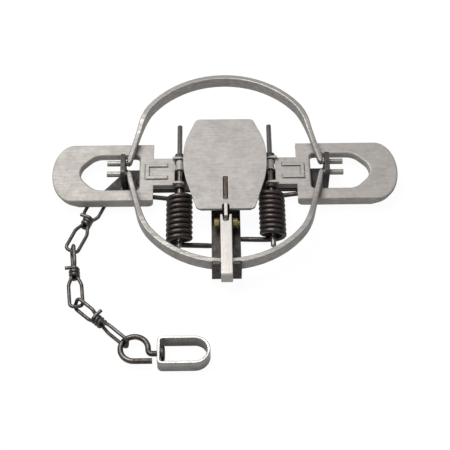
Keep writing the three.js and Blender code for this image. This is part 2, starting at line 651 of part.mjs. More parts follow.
const leastGap = (points, radius, apart) => {
  let least = Infinity;
  for (let i = 0; i < points.length; i++) {
    for (let k = i + apart; k < points.length; k++) {
      least = Math.min(least, points[i].distanceTo(points[k]) - 2 * radius);
    }
  }
  return least;
};

const coilSpring = (rearY) => {
  const points = springPath(rearY);
  console.log(`coil spring: least gap ${leastGap(points, WIRE_R, COIL_STEPS / 2).toFixed(2)} mm`);
  return tube(points, WIRE_R, COIL_SIDES);
};

// Jaw with its bow towards +Y
const jawLine = () => {
  const bowR = (JAW_CORNER_X ** 2 + (JAW_REACH - JAW_T / 2 - JAW_CORNER_Y) ** 2)
    / (2 * (JAW_REACH - JAW_T / 2 - JAW_CORNER_Y));
  const bowY = JAW_REACH - JAW_T / 2 - bowR;
  const start = Math.atan2(JAW_CORNER_Y - bowY, JAW_CORNER_X);
  const ease = JAW_CORNER_EASE / bowR;
  const leg = new THREE.Vector2(JAW_CORNER_X - JAW_LEG_X, JAW_CORNER_Y - JAW_PIVOT_Y).normalize();
  const elbow = new THREE.Path();
  elbow.moveTo(JAW_STUB_X, JAW_PIVOT_Y);
  elbow.lineTo(JAW_LEG_X + JAW_ELBOW_R, JAW_PIVOT_Y);
  elbow.quadraticCurveTo(
    JAW_LEG_X, JAW_PIVOT_Y, JAW_LEG_X + leg.x * JAW_ELBOW_R, JAW_PIVOT_Y + leg.y * JAW_ELBOW_R);
  const half = [...elbow.getPoints(6).map((p) => [p.x, p.y])];
  const run = new THREE.Vector2(JAW_CORNER_X - JAW_LEG_X, JAW_CORNER_Y - JAW_PIVOT_Y).length() - JAW_CORNER_EASE;
  [0.25, 0.5, 0.75, 1].forEach((share) => {
    const far = JAW_ELBOW_R + (run - JAW_ELBOW_R) * share;
    half.push([JAW_LEG_X + leg.x * far, JAW_PIVOT_Y + leg.y * far]);
  });
  const bend = new THREE.QuadraticBezierCurve(
    new THREE.Vector2(...half[half.length - 1]), new THREE.Vector2(JAW_CORNER_X, JAW_CORNER_Y),
    new THREE.Vector2(bowR * Math.cos(start + ease), bowY + bowR * Math.sin(start + ease)));
  half.push(...bend.getPoints(6).slice(1).map((p) => [p.x, p.y]));
  const steps = 10;
  for (let i = 1; i <= steps; i++) {
    const angle = start + ease + ((Math.PI / 2 - start - ease) * i) / steps;
    half.push([bowR * Math.cos(angle), bowY + bowR * Math.sin(angle)]);
  }
  return [...half, ...half.slice(0, -1).reverse().map(([x, y]) => [-x, y])];
};

const jawSection = ([x, y]) => {
  if (Math.abs(x) > JAW_LEG_X + JAW_ELBOW_R / 2) return roundSection(JAW_STUB_R / Math.cos(Math.PI / 8), 8);
  const share = THREE.MathUtils.smoothstep(y, JAW_LEG_END_Y, JAW_CORNER_Y);
  const h = (JAW_LEG_HEIGHT + (JAW_BOW_HEIGHT - JAW_LEG_HEIGHT) * share) / 2;
  const w = (JAW_LEG_T + (JAW_T - JAW_LEG_T) * share) / 2;
  const e = JAW_EDGE;
  return [[w, h - e], [w - e, h], [-w + e, h], [-w, h - e], [-w, -h + e], [-w + e, -h], [w - e, -h], [w, -h + e]];
};

const jaw = () => {
  const line = jawLine();
  const points = line.map(([x, y]) => new THREE.Vector3(x, y, JAW_PIVOT_Z));
  return loft(ringsAlong(points, (i) => jawSection(line[i])));
};

// Chain: each link runs from `at` towards `heading`, its two loops turned about its own line
const places = {
  hook: [-98.3, -19.5, 3.4],
  middle: [-118.4, -70.7, 6.5],
  low: [-110.6, -118.4, 6.1],
  end: [-70.9, -150.9, 6.3],
};
const place = (name) => new THREE.Vector3(...places[name]);
const clipHeading = place('middle').sub(place('hook')).setZ(0).normalize();

const chainClip = () => {
  const bottom = BASE_T + SEAT;
  const across = new THREE.Vector3(-clipHeading.y, clipHeading.x, 0);
  const [hx, hy, hz] = places.hook;
  const at = (along, side) => [
    hx + clipHeading.x * along + across.x * side, hy + clipHeading.y * along + across.y * side];
  const postEdge = BASE_HALF + SEAT * 2;
  const outline = rounded([
    [-CLIP_RIVET_X + RIVET_HEAD_R * 2, -CLIP_RIVET_Y + RIVET_HEAD_R, RIVET_HEAD_R / 2],
    [-POST_X + BASE_T, -CLIP_RIVET_Y + RIVET_HEAD_R, RIVET_HEAD_R / 2], [-POST_X + BASE_T, -postEdge],
    [-POST_X - BASE_T, -postEdge], [-POST_X - BASE_T, -CLIP_RIVET_Y - RIVET_HEAD_R], at(0, -CLIP_EYE_HALF),
    at(0, CLIP_EYE_HALF), [-POST_X, -postEdge - RIVET_HEAD_R * 1.4, RIVET_HEAD_R],
    [-CLIP_RIVET_X + RIVET_HEAD_R * 2, -CLIP_RIVET_Y - RIVET_HEAD_R * 2, RIVET_HEAD_R / 2],
  ]);
  const plate = slab(outline, 'z', bottom, bottom + CLIP_T);
  const outer = CLIP_BORE + CLIP_WALL;
  const bore = (r, half) => turned([[0, -half], [r, -half], [r, half], [0, half]],
    across, [hx, hy, hz], 16);
  return cutBy(joined(plate, bore(outer, CLIP_EYE_HALF)), bore(CLIP_BORE, CLIP_EYE_HALF + CUT * 2),
    rivetHole(-CLIP_RIVET_X, -CLIP_RIVET_Y, bottom - CUT, bottom + CLIP_T + CUT));
};

const loopPath = (length, half) => {
  const bends = [0.08, 0.16, 0.24, 0.32, 0.4].map((share) => length * share);
  const sides = (y, xs) => xs.map((x) => [x, y]);
  const shape = rounded([
    [0, -half], ...sides(-half, bends), [length, -half, LINK_CORNER], [length, half, LINK_CORNER],
    ...sides(half, bends.toReversed()), [0, half]]);
  return shape.getPoints(3).slice(0, -1);
};

const chainLink = (from, to, tilts, tailWay, firstHalf = LINK_HALF) => {
  const heading = to.clone().sub(from).normalize();
  const side = heading.clone().cross(Z).normalize();
  const up = side.clone().cross(heading);
  const length = LINK_LENGTH - 2 * LINK_WIRE_R;
  const knot = from.clone().addScaledVector(heading, length * KNOT_SHARE);
  const loop = (start, way, size, tilt, half) => {
    const angle = THREE.MathUtils.degToRad(tilt);
    const wide = side.clone().multiplyScalar(Math.cos(angle)).addScaledVector(up, Math.sin(angle));
    const spread = (x) => LINK_WAIST_SHARE
      + (1 - LINK_WAIST_SHARE) * THREE.MathUtils.smoothstep(x, 0, size * LINK_SPREAD_SHARE);
    return tube(loopPath(size, half).map((p) => start.clone().addScaledVector(heading, way * (size - p.x))
      .addScaledVector(wide, p.y * spread(p.x))), LINK_WIRE_R, 6, true);
  };
  const pitch = 2 * LINK_WIRE_R;
  const around = (along, sideways, upwards) => knot.clone().addScaledVector(heading, along)
    .addScaledVector(side, sideways).addScaledVector(up, upwards);
  const wraps = [around((-KNOT_TURNS * pitch) / 2, tailWay * KNOT_TAIL, KNOT_R)];
  const steps = KNOT_TURNS * 8;
  for (let i = 0; i <= steps; i++) {
    const angle = Math.PI / 2 + (tailWay * 2 * Math.PI * i * KNOT_TURNS) / steps;
    wraps.push(around((i / steps - 0.5) * KNOT_TURNS * pitch, KNOT_R * Math.cos(angle), KNOT_R * Math.sin(angle)));
  }
  return joined(
    loop(from, 1, length * KNOT_SHARE, tilts[0], firstHalf),
    loop(to, -1, length * (1 - KNOT_SHARE), tilts[1], LINK_HALF),
    tube(wraps, LINK_WIRE_R, 6));
};

const linkEnds = (from, to) => {
  const heading = place(to).sub(place(from)).normalize();
  const start = place(from);
  return [start, start.clone().addScaledVector(heading, LINK_LENGTH - 2 * LINK_WIRE_R)];
};

// Swivel: an open eye with a shank, and a strap bent to a stirrup that turns on the shank
const swivelZ = SWIVEL_HEIGHT / 2;
const swivelEye = () => {
  const path = new THREE.Path();
  path.moveTo(EYE_HEAD_X + EYE_HEAD / 2, -SWIVEL_Y);
  path.lineTo(EYE_RING_R + EYE_SHANK_BEND, -SWIVEL_Y);
  path.quadraticCurveTo(EYE_RING_R, -SWIVEL_Y, EYE_RING_R, 0);
  path.absarc(0, 0, EYE_RING_R, 0, 1.5 * Math.PI, false);
  path.lineTo(EYE_RING_R + EYE_SHANK_BEND, -EYE_RING_R);
  const rod = tube(flat(spaced(path.getPoints(18), EYE_WIRE_R / 4), swivelZ), EYE_WIRE_R, 8);
  const head = turned([[0, EYE_HEAD_X], [EYE_HEAD_R, EYE_HEAD_X], [EYE_HEAD_R, EYE_HEAD_X + EYE_HEAD / 2],
    [EYE_HEAD_R / 2, EYE_HEAD_X + EYE_HEAD], [0, EYE_HEAD_X + EYE_HEAD]], X, [0, -SWIVEL_Y, swivelZ], 16);
  return joined(rod, head);
};

const swivelBody = () => {
  const half = SWIVEL_HALF - SWIVEL_T / 2;
  const path = new THREE.Path();
  path.moveTo(SWIVEL_X, 0);
  path.lineTo(SWIVEL_X, -half + SWIVEL_CORNER);
  path.quadraticCurveTo(SWIVEL_X, -half, SWIVEL_X + SWIVEL_CORNER, -half);
  path.absarc(SWIVEL_END_X - SWIVEL_HALF, 0, half, -Math.PI / 2, Math.PI / 2, false);
  path.lineTo(SWIVEL_X + SWIVEL_CORNER, half);
  path.quadraticCurveTo(SWIVEL_X, half, SWIVEL_X, half - SWIVEL_CORNER);
  const line = flat(spaced(path.getPoints(12), SWIVEL_T / 4));
  line.forEach((p) => p.add(new THREE.Vector3(0, -SWIVEL_Y, swivelZ)));
  const [w, h, e] = [SWIVEL_T / 2, SWIVEL_HEIGHT / 2, SWIVEL_T / 5];
  const section = [[w, h - e], [w - e, h], [-w + e, h], [-w, h - e], [-w, -h + e], [-w + e, -h], [w - e, -h],
    [w, -h + e]];
  const strap = loft(ringsAlong(line, () => section, true), true);
  const r = EYE_WIRE_R + PIN_PLAY;
  const hole = turned([[0, SWIVEL_X - SWIVEL_T], [r, SWIVEL_X - SWIVEL_T], [r, SWIVEL_X + SWIVEL_T],
    [0, SWIVEL_X + SWIVEL_T]], X, [0, -SWIVEL_Y, swivelZ]);
  return cutBy(strap, hole);
};

// Materials
const steel = (color, roughness, metalness = 0.9) =>
  new THREE.MeshStandardMaterial({ color, roughness, metalness });
const finishes = {
  stamped: steel(0xbbb7b2, 0.55),
  jaw: steel(0xc6c2bd, 0.4),
  bright: steel(0xe6e2dc, 0.35),
  dark: steel(0x5f5c5a, 0.6),
  spring: steel(0x2c2624, 0.45),
  chain: steel(0x5d5a59, 0.45),
  swivel: steel(0xa8a6a4, 0.25),
  brass: steel(0xc6b887, 0.4),
};

const object = new THREE.Group();
const put = (name, form, finish) => {
  const mesh = new THREE.Mesh(geometryOf(form), finishes[finish]);
  mesh.name = name;
  object.add(mesh);
};

put('base_plate', basePlate(), 'dark');
put('cross_arm', crossArm(), 'dark');
put('left_arm_rivet', rivet(-ARM_RIVET_X, 0, SEAT, armTop), 'dark');
put('right_arm_rivet', rivet(ARM_RIVET_X, 0, SEAT, armTop), 'dark');
[['right', (form) => form, COIL_REAR_Y], ['left', mirrored, COIL_REAR_Y_LEFT]].forEach(([name, way, rearY]) => {
  put(`${name}_spring_pin`, way(springPin()), 'dark');
  put(`${name}_pin_spacer`, way(spacer()), 'stamped');
  put(`${name}_lever`, way(lever()), 'stamped');
  put(`${name}_coil_spring`, way(coilSpring(rearY)), 'spring');
});
put('rear_jaw', jaw(), 'jaw');
put('front_jaw', jaw().mirror([0, 1, 0]), 'jaw');
put('dog', dog(), 'bright');
put('pan', pan(), 'stamped');
put('pan_shank', panShank(), 'bright');
put('pan_bracket', panBracket(), 'dark');
put('pan_bracket_rivet', rivet(0, bracketRivetY, armBottom, bracketBottom + BRACKET_T), 'dark');
put('pan_bolt', panBolt(), 'brass');
put('pan_nut', panNut(), 'brass');
put('chain_clip', chainClip(), 'dark');
put('chain_clip_rivet', rivet(-CLIP_RIVET_X, -CLIP_RIVET_Y, SEAT, BASE_T + SEAT + CLIP_T), 'dark');

const overlap = (from, to) => {
  const heading = place(to).sub(place(from)).normalize();
  return heading.multiplyScalar(LINK_OVERLAP - 2 * LINK_WIRE_R);
};
const [firstStart, firstEnd] = linkEnds('hook', 'middle');
put('chain_link_1', chainLink(firstStart, firstEnd, [0, 12], 1, LINK_WIDE_HALF), 'chain');
places.middle = firstEnd.clone().sub(overlap('hook', 'middle')).toArray();
const [secondStart, secondEnd] = linkEnds('middle', 'low');
put('chain_link_2', chainLink(secondStart, secondEnd, [-76, 5], 1), 'chain');
places.low = secondEnd.clone().sub(overlap('middle', 'low')).toArray();
const [thirdStart, thirdEnd] = linkEnds('low', 'end');
put('chain_link_3', chainLink(thirdStart, thirdEnd, [-60, -80], -1), 'chain');
const ring = [thirdEnd.x + EYE_FROM_LINK_X, thirdEnd.y + EYE_FROM_LINK_Y, 0];
put('swivel_eye', swivelEye().translate(ring), 'chain');
put('swivel_body', swivelBody().translate(ring), 'swivel');

export default object;
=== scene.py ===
"""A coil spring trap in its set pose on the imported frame, with a studio floor and a camera."""

from __future__ import annotations

import json
import logging
import math
import sys
from collections.abc import Callable, Iterable, Iterator, Sequence
from contextlib import contextmanager
from dataclasses import dataclass, field
from enum import Enum

import bpy
from mathutils import Matrix, Vector

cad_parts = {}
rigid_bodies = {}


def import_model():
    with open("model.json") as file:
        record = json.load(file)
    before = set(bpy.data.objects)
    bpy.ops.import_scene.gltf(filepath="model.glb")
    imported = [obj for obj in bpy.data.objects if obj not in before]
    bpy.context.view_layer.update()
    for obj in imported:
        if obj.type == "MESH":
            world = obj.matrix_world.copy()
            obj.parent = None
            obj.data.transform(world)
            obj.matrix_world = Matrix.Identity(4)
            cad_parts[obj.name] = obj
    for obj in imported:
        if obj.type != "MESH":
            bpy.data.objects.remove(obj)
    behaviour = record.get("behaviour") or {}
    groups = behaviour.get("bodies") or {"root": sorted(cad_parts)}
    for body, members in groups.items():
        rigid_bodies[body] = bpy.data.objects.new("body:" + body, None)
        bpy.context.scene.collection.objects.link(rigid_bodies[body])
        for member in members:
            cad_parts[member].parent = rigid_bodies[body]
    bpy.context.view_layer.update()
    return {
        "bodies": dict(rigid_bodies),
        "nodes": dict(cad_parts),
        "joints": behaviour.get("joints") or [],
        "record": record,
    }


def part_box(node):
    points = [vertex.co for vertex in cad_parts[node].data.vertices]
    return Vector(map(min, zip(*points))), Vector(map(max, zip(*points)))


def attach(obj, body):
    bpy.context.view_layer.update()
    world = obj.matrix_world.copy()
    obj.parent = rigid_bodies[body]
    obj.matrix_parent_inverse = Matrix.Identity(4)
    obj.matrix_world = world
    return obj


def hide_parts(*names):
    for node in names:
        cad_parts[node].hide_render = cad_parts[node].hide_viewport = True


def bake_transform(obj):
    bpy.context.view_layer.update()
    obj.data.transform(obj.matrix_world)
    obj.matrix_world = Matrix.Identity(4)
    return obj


LOG = logging.getLogger("coil_spring_trap")
MM = 0.001
# In millimetres: how close counts as the same place, how close as beside it, how long an edge
# must be to run along an axis, and how far forms reach into one another.
SNAP = 0.01
NEAR = 0.1
LEAST_RUN = 1.0
LAP = 1.0
MERGE_GAP = 0.002
WIRE_MERGE_GAP = 0.001
SHARP_ANGLE = math.radians(32)
SMOOTH_ANGLE = math.radians(35)
WIRE_SMOOTH_ANGLE = math.radians(50)
FLAT_ANGLE = math.radians(0.6)
Piece = bpy.types.Object
Tree = bpy.types.NodeTree
Socket = bpy.types.NodeSocket
Point = tuple[float, float, float]
Triple = tuple[float, float, float]
Range = tuple[float, float]
EdgeTest = Callable[[Vector, Vector], bool]


class Side(Enum):
    """The two ends of the trap, as signs of X."""

    LEFT = -1
    RIGHT = 1

    @property
    def word(self) -> str:
        """The side's name in lower case."""
        return self.name.lower()


class Carve(Enum):
    """How a second form works on the first."""

    CUT = "DIFFERENCE"
    WELD = "UNION"


def linear(colour: str) -> tuple[float, float, float, float]:
    """Turns an sRGB hex colour to the linear values that Blender's sockets take.

    Args:
        colour: Six hex digits after a hash sign.

    Returns:
        Linear red, green and blue, and an alpha of one.
    """
    parts = [int(colour[i : i + 2], 16) / 255 for i in (1, 3, 5)]
    red, green, blue = (p / 12.92 if p <= 0.04045 else ((p + 0.055) / 1.055) ** 2.4 for p in parts)
    return red, green, blue, 1.0


def add_node(
    tree: Tree, kind: str, settings: dict[str | int, object] | None = None,
    links: dict[str | int, Socket] | None = None,
) -> bpy.types.Node:
    """Adds one node with its settings and its incoming links.

    Args:
        tree: The material's or world's node tree.
        kind: The node's type name.
        settings: Values by property name, or by input name or number.
        links: Sockets to link in, by input name or number.

    Returns:
        The new node.
    """
    node = tree.nodes.new(kind)
    for key, value in (settings or {}).items():
        if isinstance(key, str) and hasattr(node, key):
            setattr(node, key, value)
        else:
            node.inputs[key].default_value = value
    for key, socket in (links or {}).items():
        tree.links.new(socket, node.inputs[key])
    return node


def bare_tree(owner: bpy.types.Material | bpy.types.World) -> Tree:
    """Turns on the nodes of a material or a world, and empties them.

    Args:
        owner: The material or world.

    Returns:
        Its empty node tree.
    """
    owner.use_nodes = True
    owner.node_tree.nodes.clear()
    return owner.node_tree


def scaled(tree: Tree, place: Socket, scale: Triple) -> Socket:
    """Scales a texture's coordinates along each axis."""
    return add_node(tree, "ShaderNodeMapping", {"Scale": scale}, {"Vector": place}).outputs[0]


def noise(tree: Tree, place: Socket, scale: float, detail: float, roughness: float = 0.5) -> Socket:
    """Adds a noise texture, between nought and one, at the given coordinates."""
    settings = {"Scale": scale, "Detail": detail, "Roughness": roughness}
    return add_node(tree, "ShaderNodeTexNoise", settings, {"Vector": place}).outputs[0]


def remap(tree: Tree, value: Socket, source: Range, target: Range) -> Socket:
    """Carries a value from one range over to another, and holds it there."""
    settings = {
        "From Min": source[0], "From Max": source[1], "To Min": target[0], "To Max": target[1],
    }
    return add_node(tree, "ShaderNodeMapRange", settings, {"Value": value}).outputs[0]


def combine(
    tree: Tree, operation: str, first: Socket, second: Socket, clamped: bool = False
) -> Socket:
    """Adds or multiplies two values, and holds the result within nought and one if clamped."""
    settings = {"operation": operation, "use_clamp": clamped}
    return add_node(tree, "ShaderNodeMath", settings, {0: first, 1: second}).outputs[0]


def mix(
    tree: Tree, share: Socket, first: Socket | Sequence[float], second: Sequence[float]
) -> Socket:
    """Mixes a second, fixed colour into a first one.

    Args:
        tree: The material's node tree.
        share: The second colour's share.
        first: A socket or a fixed colour.
        second: A fixed colour.

    Returns:
        The mixed colour.
    """
    settings, links = {"data_type": "RGBA", 7: tuple(second)}, {0: share}
    if isinstance(first, Socket):
        links[6] = first
    else:
        settings[6] = first
    return add_node(tree, "ShaderNodeMix", settings, links).outputs[2]


@dataclass(frozen=True)
class SteelFinish:
    """A metal surface: colour, mottling, brush marks, shade painted into its hollows, and edges
    painted lighter as wear and as painted highlight.
    """

    name: str
    colour: str
    deep: str
    # The colour painted along edges, as wear and as painted highlight.
    worn: str
    metallic: float = 0.85
    roughness: float = 0.5
    roughness_spread: float = 0.12
    mottle_mm: float = 5.0
    mottle_share: float = 0.5
    grain_mm: float = 0.7
    brush_mm: Triple = (14.0, 0.6, 0.6)
    brush_share: float = 0.3
    bump_mm: float = 0.05
    edge_mm: float = 0.5
    # How much of that colour the edges take, as wear and as painted highlight.
    wear_share: float = 0.6
    # These three fields paint shade into the colour where ambient occlusion finds hollows.
    grime_mm: float = 5.0
    grime_share: float = 0.7
    grime_depth: float = 0.45
    mottle_range: Range = (0.38, 0.72)
    cloud_range: Range = (0.35, 0.65)
    cloud_scale: float = 0.22
    cloud_share: float = 0.6
    brush_range: Range = (0.42, 0.66)
    hollow_range: Range = (0.25, 0.85)
    edge_range: Range = (0.995, 0.88)
    # These two break the painted edge wear and highlight into patches.
    rub_range: Range = (0.3, 0.55)
    rub_least: float = 0.35
    shade_range: Range = (0.0, 0.8)
    samples: int = 6

    def material(self) -> bpy.types.Material:
        """Builds the node material, or returns it if it has been built.

        Returns:
            The material, named for the finish.
        """
        found = bpy.data.materials.get(self.name)
        if found:
            return found
        made = bpy.data.materials.new(self.name)
        tree = bare_tree(made)
        place = add_node(tree, "ShaderNodeTexCoord").outputs["Object"]
        size = scaled(tree, place, (1 / MM,) * 3)
        mottle = noise(tree, size, 1 / self.mottle_mm, detail=5.0, roughness=0.62)
        cloud = noise(tree, size, self.cloud_scale / self.mottle_mm, detail=2.0)
        grain = noise(tree, size, 1 / self.grain_mm, detail=2.0)
        stretch = scaled(tree, size, tuple(1 / s for s in self.brush_mm))
        brush = noise(tree, stretch, 1.0, detail=3.0, roughness=0.55)
        spots = remap(tree, mottle, self.mottle_range, (0.0, self.mottle_share))
        clouds = remap(tree, cloud, self.cloud_range, (0.0, self.mottle_share * self.cloud_share))
        lines = remap(tree, brush, self.brush_range, (0.0, self.brush_share))
        shade = combine(tree, "ADD", combine(tree, "ADD", spots, clouds), lines, clamped=True)
        sheet = mix(tree, shade, linear(self.colour), linear(self.deep))
        # Painted shade: the colour darkens towards a dark tone where ambient occlusion finds
        # hollows and creases.
        hollow = add_node(
            tree, "ShaderNodeAmbientOcclusion",
            {"samples": self.samples, "Distance": self.grime_mm * MM},
        ).outputs["AO"]
        painted_shade = remap(tree, hollow, self.hollow_range, (self.grime_share, 0.0))
        shade_colour = (*(c * self.grime_depth for c in linear(self.deep)[:3]), 1.0)
        shaded_colour = mix(tree, painted_shade, sheet, shade_colour)
        # Painted highlight and wear: edges found by the bevel normal take the lighter colour, in
        # patches.
        eased = add_node(
            tree, "ShaderNodeBevel", {"samples": self.samples, "Radius": self.edge_mm * MM}
        ).outputs[0]
        ground = add_node(tree, "ShaderNodeNewGeometry").outputs["Normal"]
        turn = add_node(
            tree, "ShaderNodeVectorMath", {"operation": "DOT_PRODUCT"}, {0: eased, 1: ground}
        ).outputs["Value"]
        edge = remap(tree, turn, self.edge_range, (0.0, self.wear_share))
        patches = remap(tree, mottle, self.rub_range, (self.rub_least, 1.0))
        lit_worn_edges = combine(tree, "MULTIPLY", edge, patches, clamped=True)
        colour = mix(tree, lit_worn_edges, shaded_colour, linear(self.worn))
        spread = self.roughness_spread
        rough = remap(
            tree, shade, self.shade_range, (self.roughness - spread, self.roughness + spread)
        )
        relief = combine(tree, "ADD", grain, brush)
        bump = add_node(
            tree, "ShaderNodeBump", {"Strength": 0.5, "Distance": self.bump_mm * MM},
            {"Height": relief, "Normal": eased},
        ).outputs[0]
        shader = add_node(
            tree, "ShaderNodeBsdfPrincipled", {"Metallic": self.metallic},
            {"Base Color": colour, "Roughness": rough, "Normal": bump},
        )
        add_node(tree, "ShaderNodeOutputMaterial", {}, {"Surface": shader.outputs[0]})
        return made


# Pressed mild steel sheet, tumbled bare: pale warm grey, matt and faintly clouded.
SHEET = SteelFinish(
    "mild_steel_sheet_tumbled", "#bfbab5", "#97928d", "#e2ded9",
    metallic=0.45, roughness=0.6, mottle_mm=3.2, mottle_share=0.36,
    brush_mm=(18.0, 0.9, 0.9), brush_share=0.24, edge_mm=0.8,
)
# Drawn mild steel strip on edge: brushed along, its edges painted bright as tumbling wear and as
# painted highlight.
STRIP = SteelFinish(
    "mild_steel_strip_drawn", "#b6b2ad", "#7f7b78", "#ebe8e3",
    metallic=0.65, roughness=0.45, mottle_mm=4.0, mottle_share=0.35,
    brush_mm=(26.0, 2.2, 0.5), brush_share=0.4, wear_share=0.9, edge_mm=0.9,
)
# Polished mild steel bar: pale where it faces the light.
BRIGHT = SteelFinish(
    "mild_steel_bar_bright", "#d6d2cc", "#b8b3ac", "#fbf8f3",
    metallic=0.4, roughness=0.42, mottle_mm=3.0, mottle_share=0.3,
    brush_mm=(0.8, 12.0, 0.8), brush_share=0.25, grime_share=0.6,
)
# Hot rolled bar with its mill scale: dark, with a dull grey bloom, and its edges painted lighter,
# partly as wear and partly as painted highlight.
SCALE = SteelFinish(
    "mild_steel_bar_hot_rolled", "#625e5b", "#3a3735", "#b4b0ac",
    metallic=0.7, mottle_mm=4.5, mottle_share=0.6, brush_mm=(0.9, 16.0, 0.9), grime_share=0.85,
)
# Oil tempered spring wire: dark brown grey, with a soft oily gleam along each curl.
SPRING = SteelFinish(
    "spring_wire_oil_tempered", "#615955", "#322d2a", "#958b86",
    metallic=0.75, roughness=0.38, mottle_mm=2.0, brush_mm=(2.0, 2.0, 2.0), brush_share=0.2,
    wear_share=0.2,
)
# Drawn low carbon wire under a dark oily film.
WIRE = SteelFinish(
    "low_carbon_wire_drawn", "#78736f", "#3d3936", "#aaa49f",
    roughness=0.36, mottle_mm=2.4, mottle_share=0.6, brush_mm=(3.0, 3.0, 3.0), brush_share=0.25,
    wear_share=0.3, grime_share=0.8,
)
# Cold drawn rod of the spring pins: grey, with a long clean gleam.
ROD = SteelFinish(
    "mild_steel_rod_drawn", "#9a9692", "#5b5754", "#d8d4cf",
    roughness=0.34, mottle_mm=3.0, mottle_share=0.4, brush_mm=(0.6, 12.0, 0.6),
    wear_share=0.5, grime_share=0.8,
)
# Polished strap steel of the swivel: a soft gleam outside, and a darker inside, which is painted
# shade from ambient occlusion reaching far into the strap.
STRAP = SteelFinish(
    "mild_steel_strap_polished", "#cbc8c4", "#6d6a68", "#d6d3cf",
    metallic=0.9, roughness=0.4, roughness_spread=0.08, mottle_mm=6.0, mottle_share=0.25,
    brush_mm=(20.0, 20.0, 0.5), wear_share=0.8, bump_mm=0.02, grime_mm=24.0, grime_share=0.9,
)
# Yellow zinc plate on the pan's bolt and nut: pale brass colour with grey thin spots.
ZINC = SteelFinish(
    "zinc_plate_yellow", "#b9ab74", "#766b43", "#e3d9a8",
    roughness=0.38, mottle_mm=1.6, brush_share=0.15,
)
# Mild steel tinted by the heat of the weld that holds the shank in the pan: a dull brown.
WELD = SteelFinish(
    "mild_steel_heat_tinted", "#776a5c", "#4a4036", "#978a7b",
    metallic=0.5, roughness=0.6, mottle_mm=1.8, mottle_share=0.6,
    brush_mm=(1.2, 6.0, 1.2), brush_share=0.2, wear_share=0.2, grime_share=0.5,
)


def deselect() -> None:
    """Leaves nothing selected."""
    if bpy.context.object and bpy.context.object.mode != "OBJECT":
        bpy.ops.object.mode_set(mode="OBJECT")
    bpy.ops.object.select_all(action="DESELECT")


def choose(piece: Piece) -> None:
    """Makes a piece the only selected object, and the active one.

    Args:
        piece: The object to choose.
    """
    deselect()
    piece.select_set(True)
    bpy.context.view_layer.objects.active = piece


@contextmanager
def editing(piece: Piece, kind: str = "EDGE", everything: bool = False) -> Iterator[None]:
    """Opens the piece in edit mode with all or nothing selected, and closes it again.

    Args:
        piece: The mesh object to edit.
        kind: What is selected: VERT, EDGE or FACE.
        everything: Whether all of it starts selected.
    """
    choose(piece)
    bpy.ops.object.mode_set(mode="EDIT")
    bpy.ops.mesh.select_mode(type=kind)
    bpy.ops.mesh.select_all(action="SELECT" if everything else "DESELECT")
    yield
    bpy.ops.object.mode_set(mode="OBJECT")


def runs_along(axis: str, a: Vector, b: Vector) -> bool:
    """Whether an edge runs along an axis."""
    return abs(getattr(a, axis) - getattr(b, axis)) > LEAST_RUN


def bevel_edges(piece: Piece, test: EdgeTest, width_mm: float, segments: int) -> None:
    """Bevels the edges whose two ends pass a test.

    Args:
        piece: The mesh object.
        test: Takes an edge's ends, in millimetres.
        width_mm: The bevel's width.
        segments: How many faces round it.
    """
    with editing(piece):
        bpy.ops.object.mode_set(mode="OBJECT")
        points = [v.co / MM for v in piece.data.vertices]
        for edge in piece.data.edges:
            edge.select = test(*(points[i] for i in edge.vertices))
        bpy.ops.object.mode_set(mode="EDIT")
        bpy.ops.mesh.bevel(offset=width_mm * MM, segments=segments, affect="EDGES")


def settle(piece: Piece, name: str) -> Piece:
    """Names a piece and puts its place into its mesh.

    Args:
        piece: The object to settle.
        name: Its new name.

    Returns:
        The same object, at the origin.
    """
    choose(piece)
    bpy.ops.object.transform_apply(location=True, rotation=True, scale=True)
    piece.name = name
    piece.data.name = name
    return piece


def block(name: str, low: Point, high: Point) -> Piece:
    """Adds a box between two corners given in millimetres.

    Args:
        name: The piece's name.
        low: Its lowest corner.
        high: Its highest corner.

    Returns:
        The box, ready to be shaped.
    """
    deselect()
    middle = [(a + b) / 2 * MM for a, b in zip(low, high)]
    extent = [(b - a) * MM for a, b in zip(low, high)]
    bpy.ops.mesh.primitive_cube_add(size=1, location=middle, scale=extent)
    return settle(bpy.context.object, name)


def rod(name: str, start: Point, end: Point, radius: float, sides: int = 32) -> Piece:
    """Adds a round rod between two points given in millimetres.

    Args:
        name: The piece's name.
        start: One end of its middle line.
        end: The other end.
        radius: Its radius.
        sides: How many faces go round it.

    Returns:
        The rod, ready to be shaped.
    """
    deselect()
    a, b = Vector(start) * MM, Vector(end) * MM
    bpy.ops.mesh.primitive_cylinder_add(
        vertices=sides, radius=radius * MM, depth=(b - a).length, location=(a + b) / 2,
        rotation=(b - a).to_track_quat("Z", "Y").to_euler(),
    )
    return settle(bpy.context.object, name)


def carve(piece: Piece, tools: Iterable[Piece], how: Carve) -> Piece:
    """Cuts or welds other forms into a piece, and removes them.

    Args:
        piece: The form that stays.
        tools: The forms that work on it.
        how: Whether they cut or weld.

    Returns:
        The worked piece.
    """
    for tool in tools:
        choose(piece)
        step = piece.modifiers.new("carve", "BOOLEAN")
        step.operation = how.value
        step.object = tool
        step.solver = "EXACT"
        bpy.ops.object.modifier_apply(modifier=step.name)
        bpy.data.objects.remove(tool)
    return piece


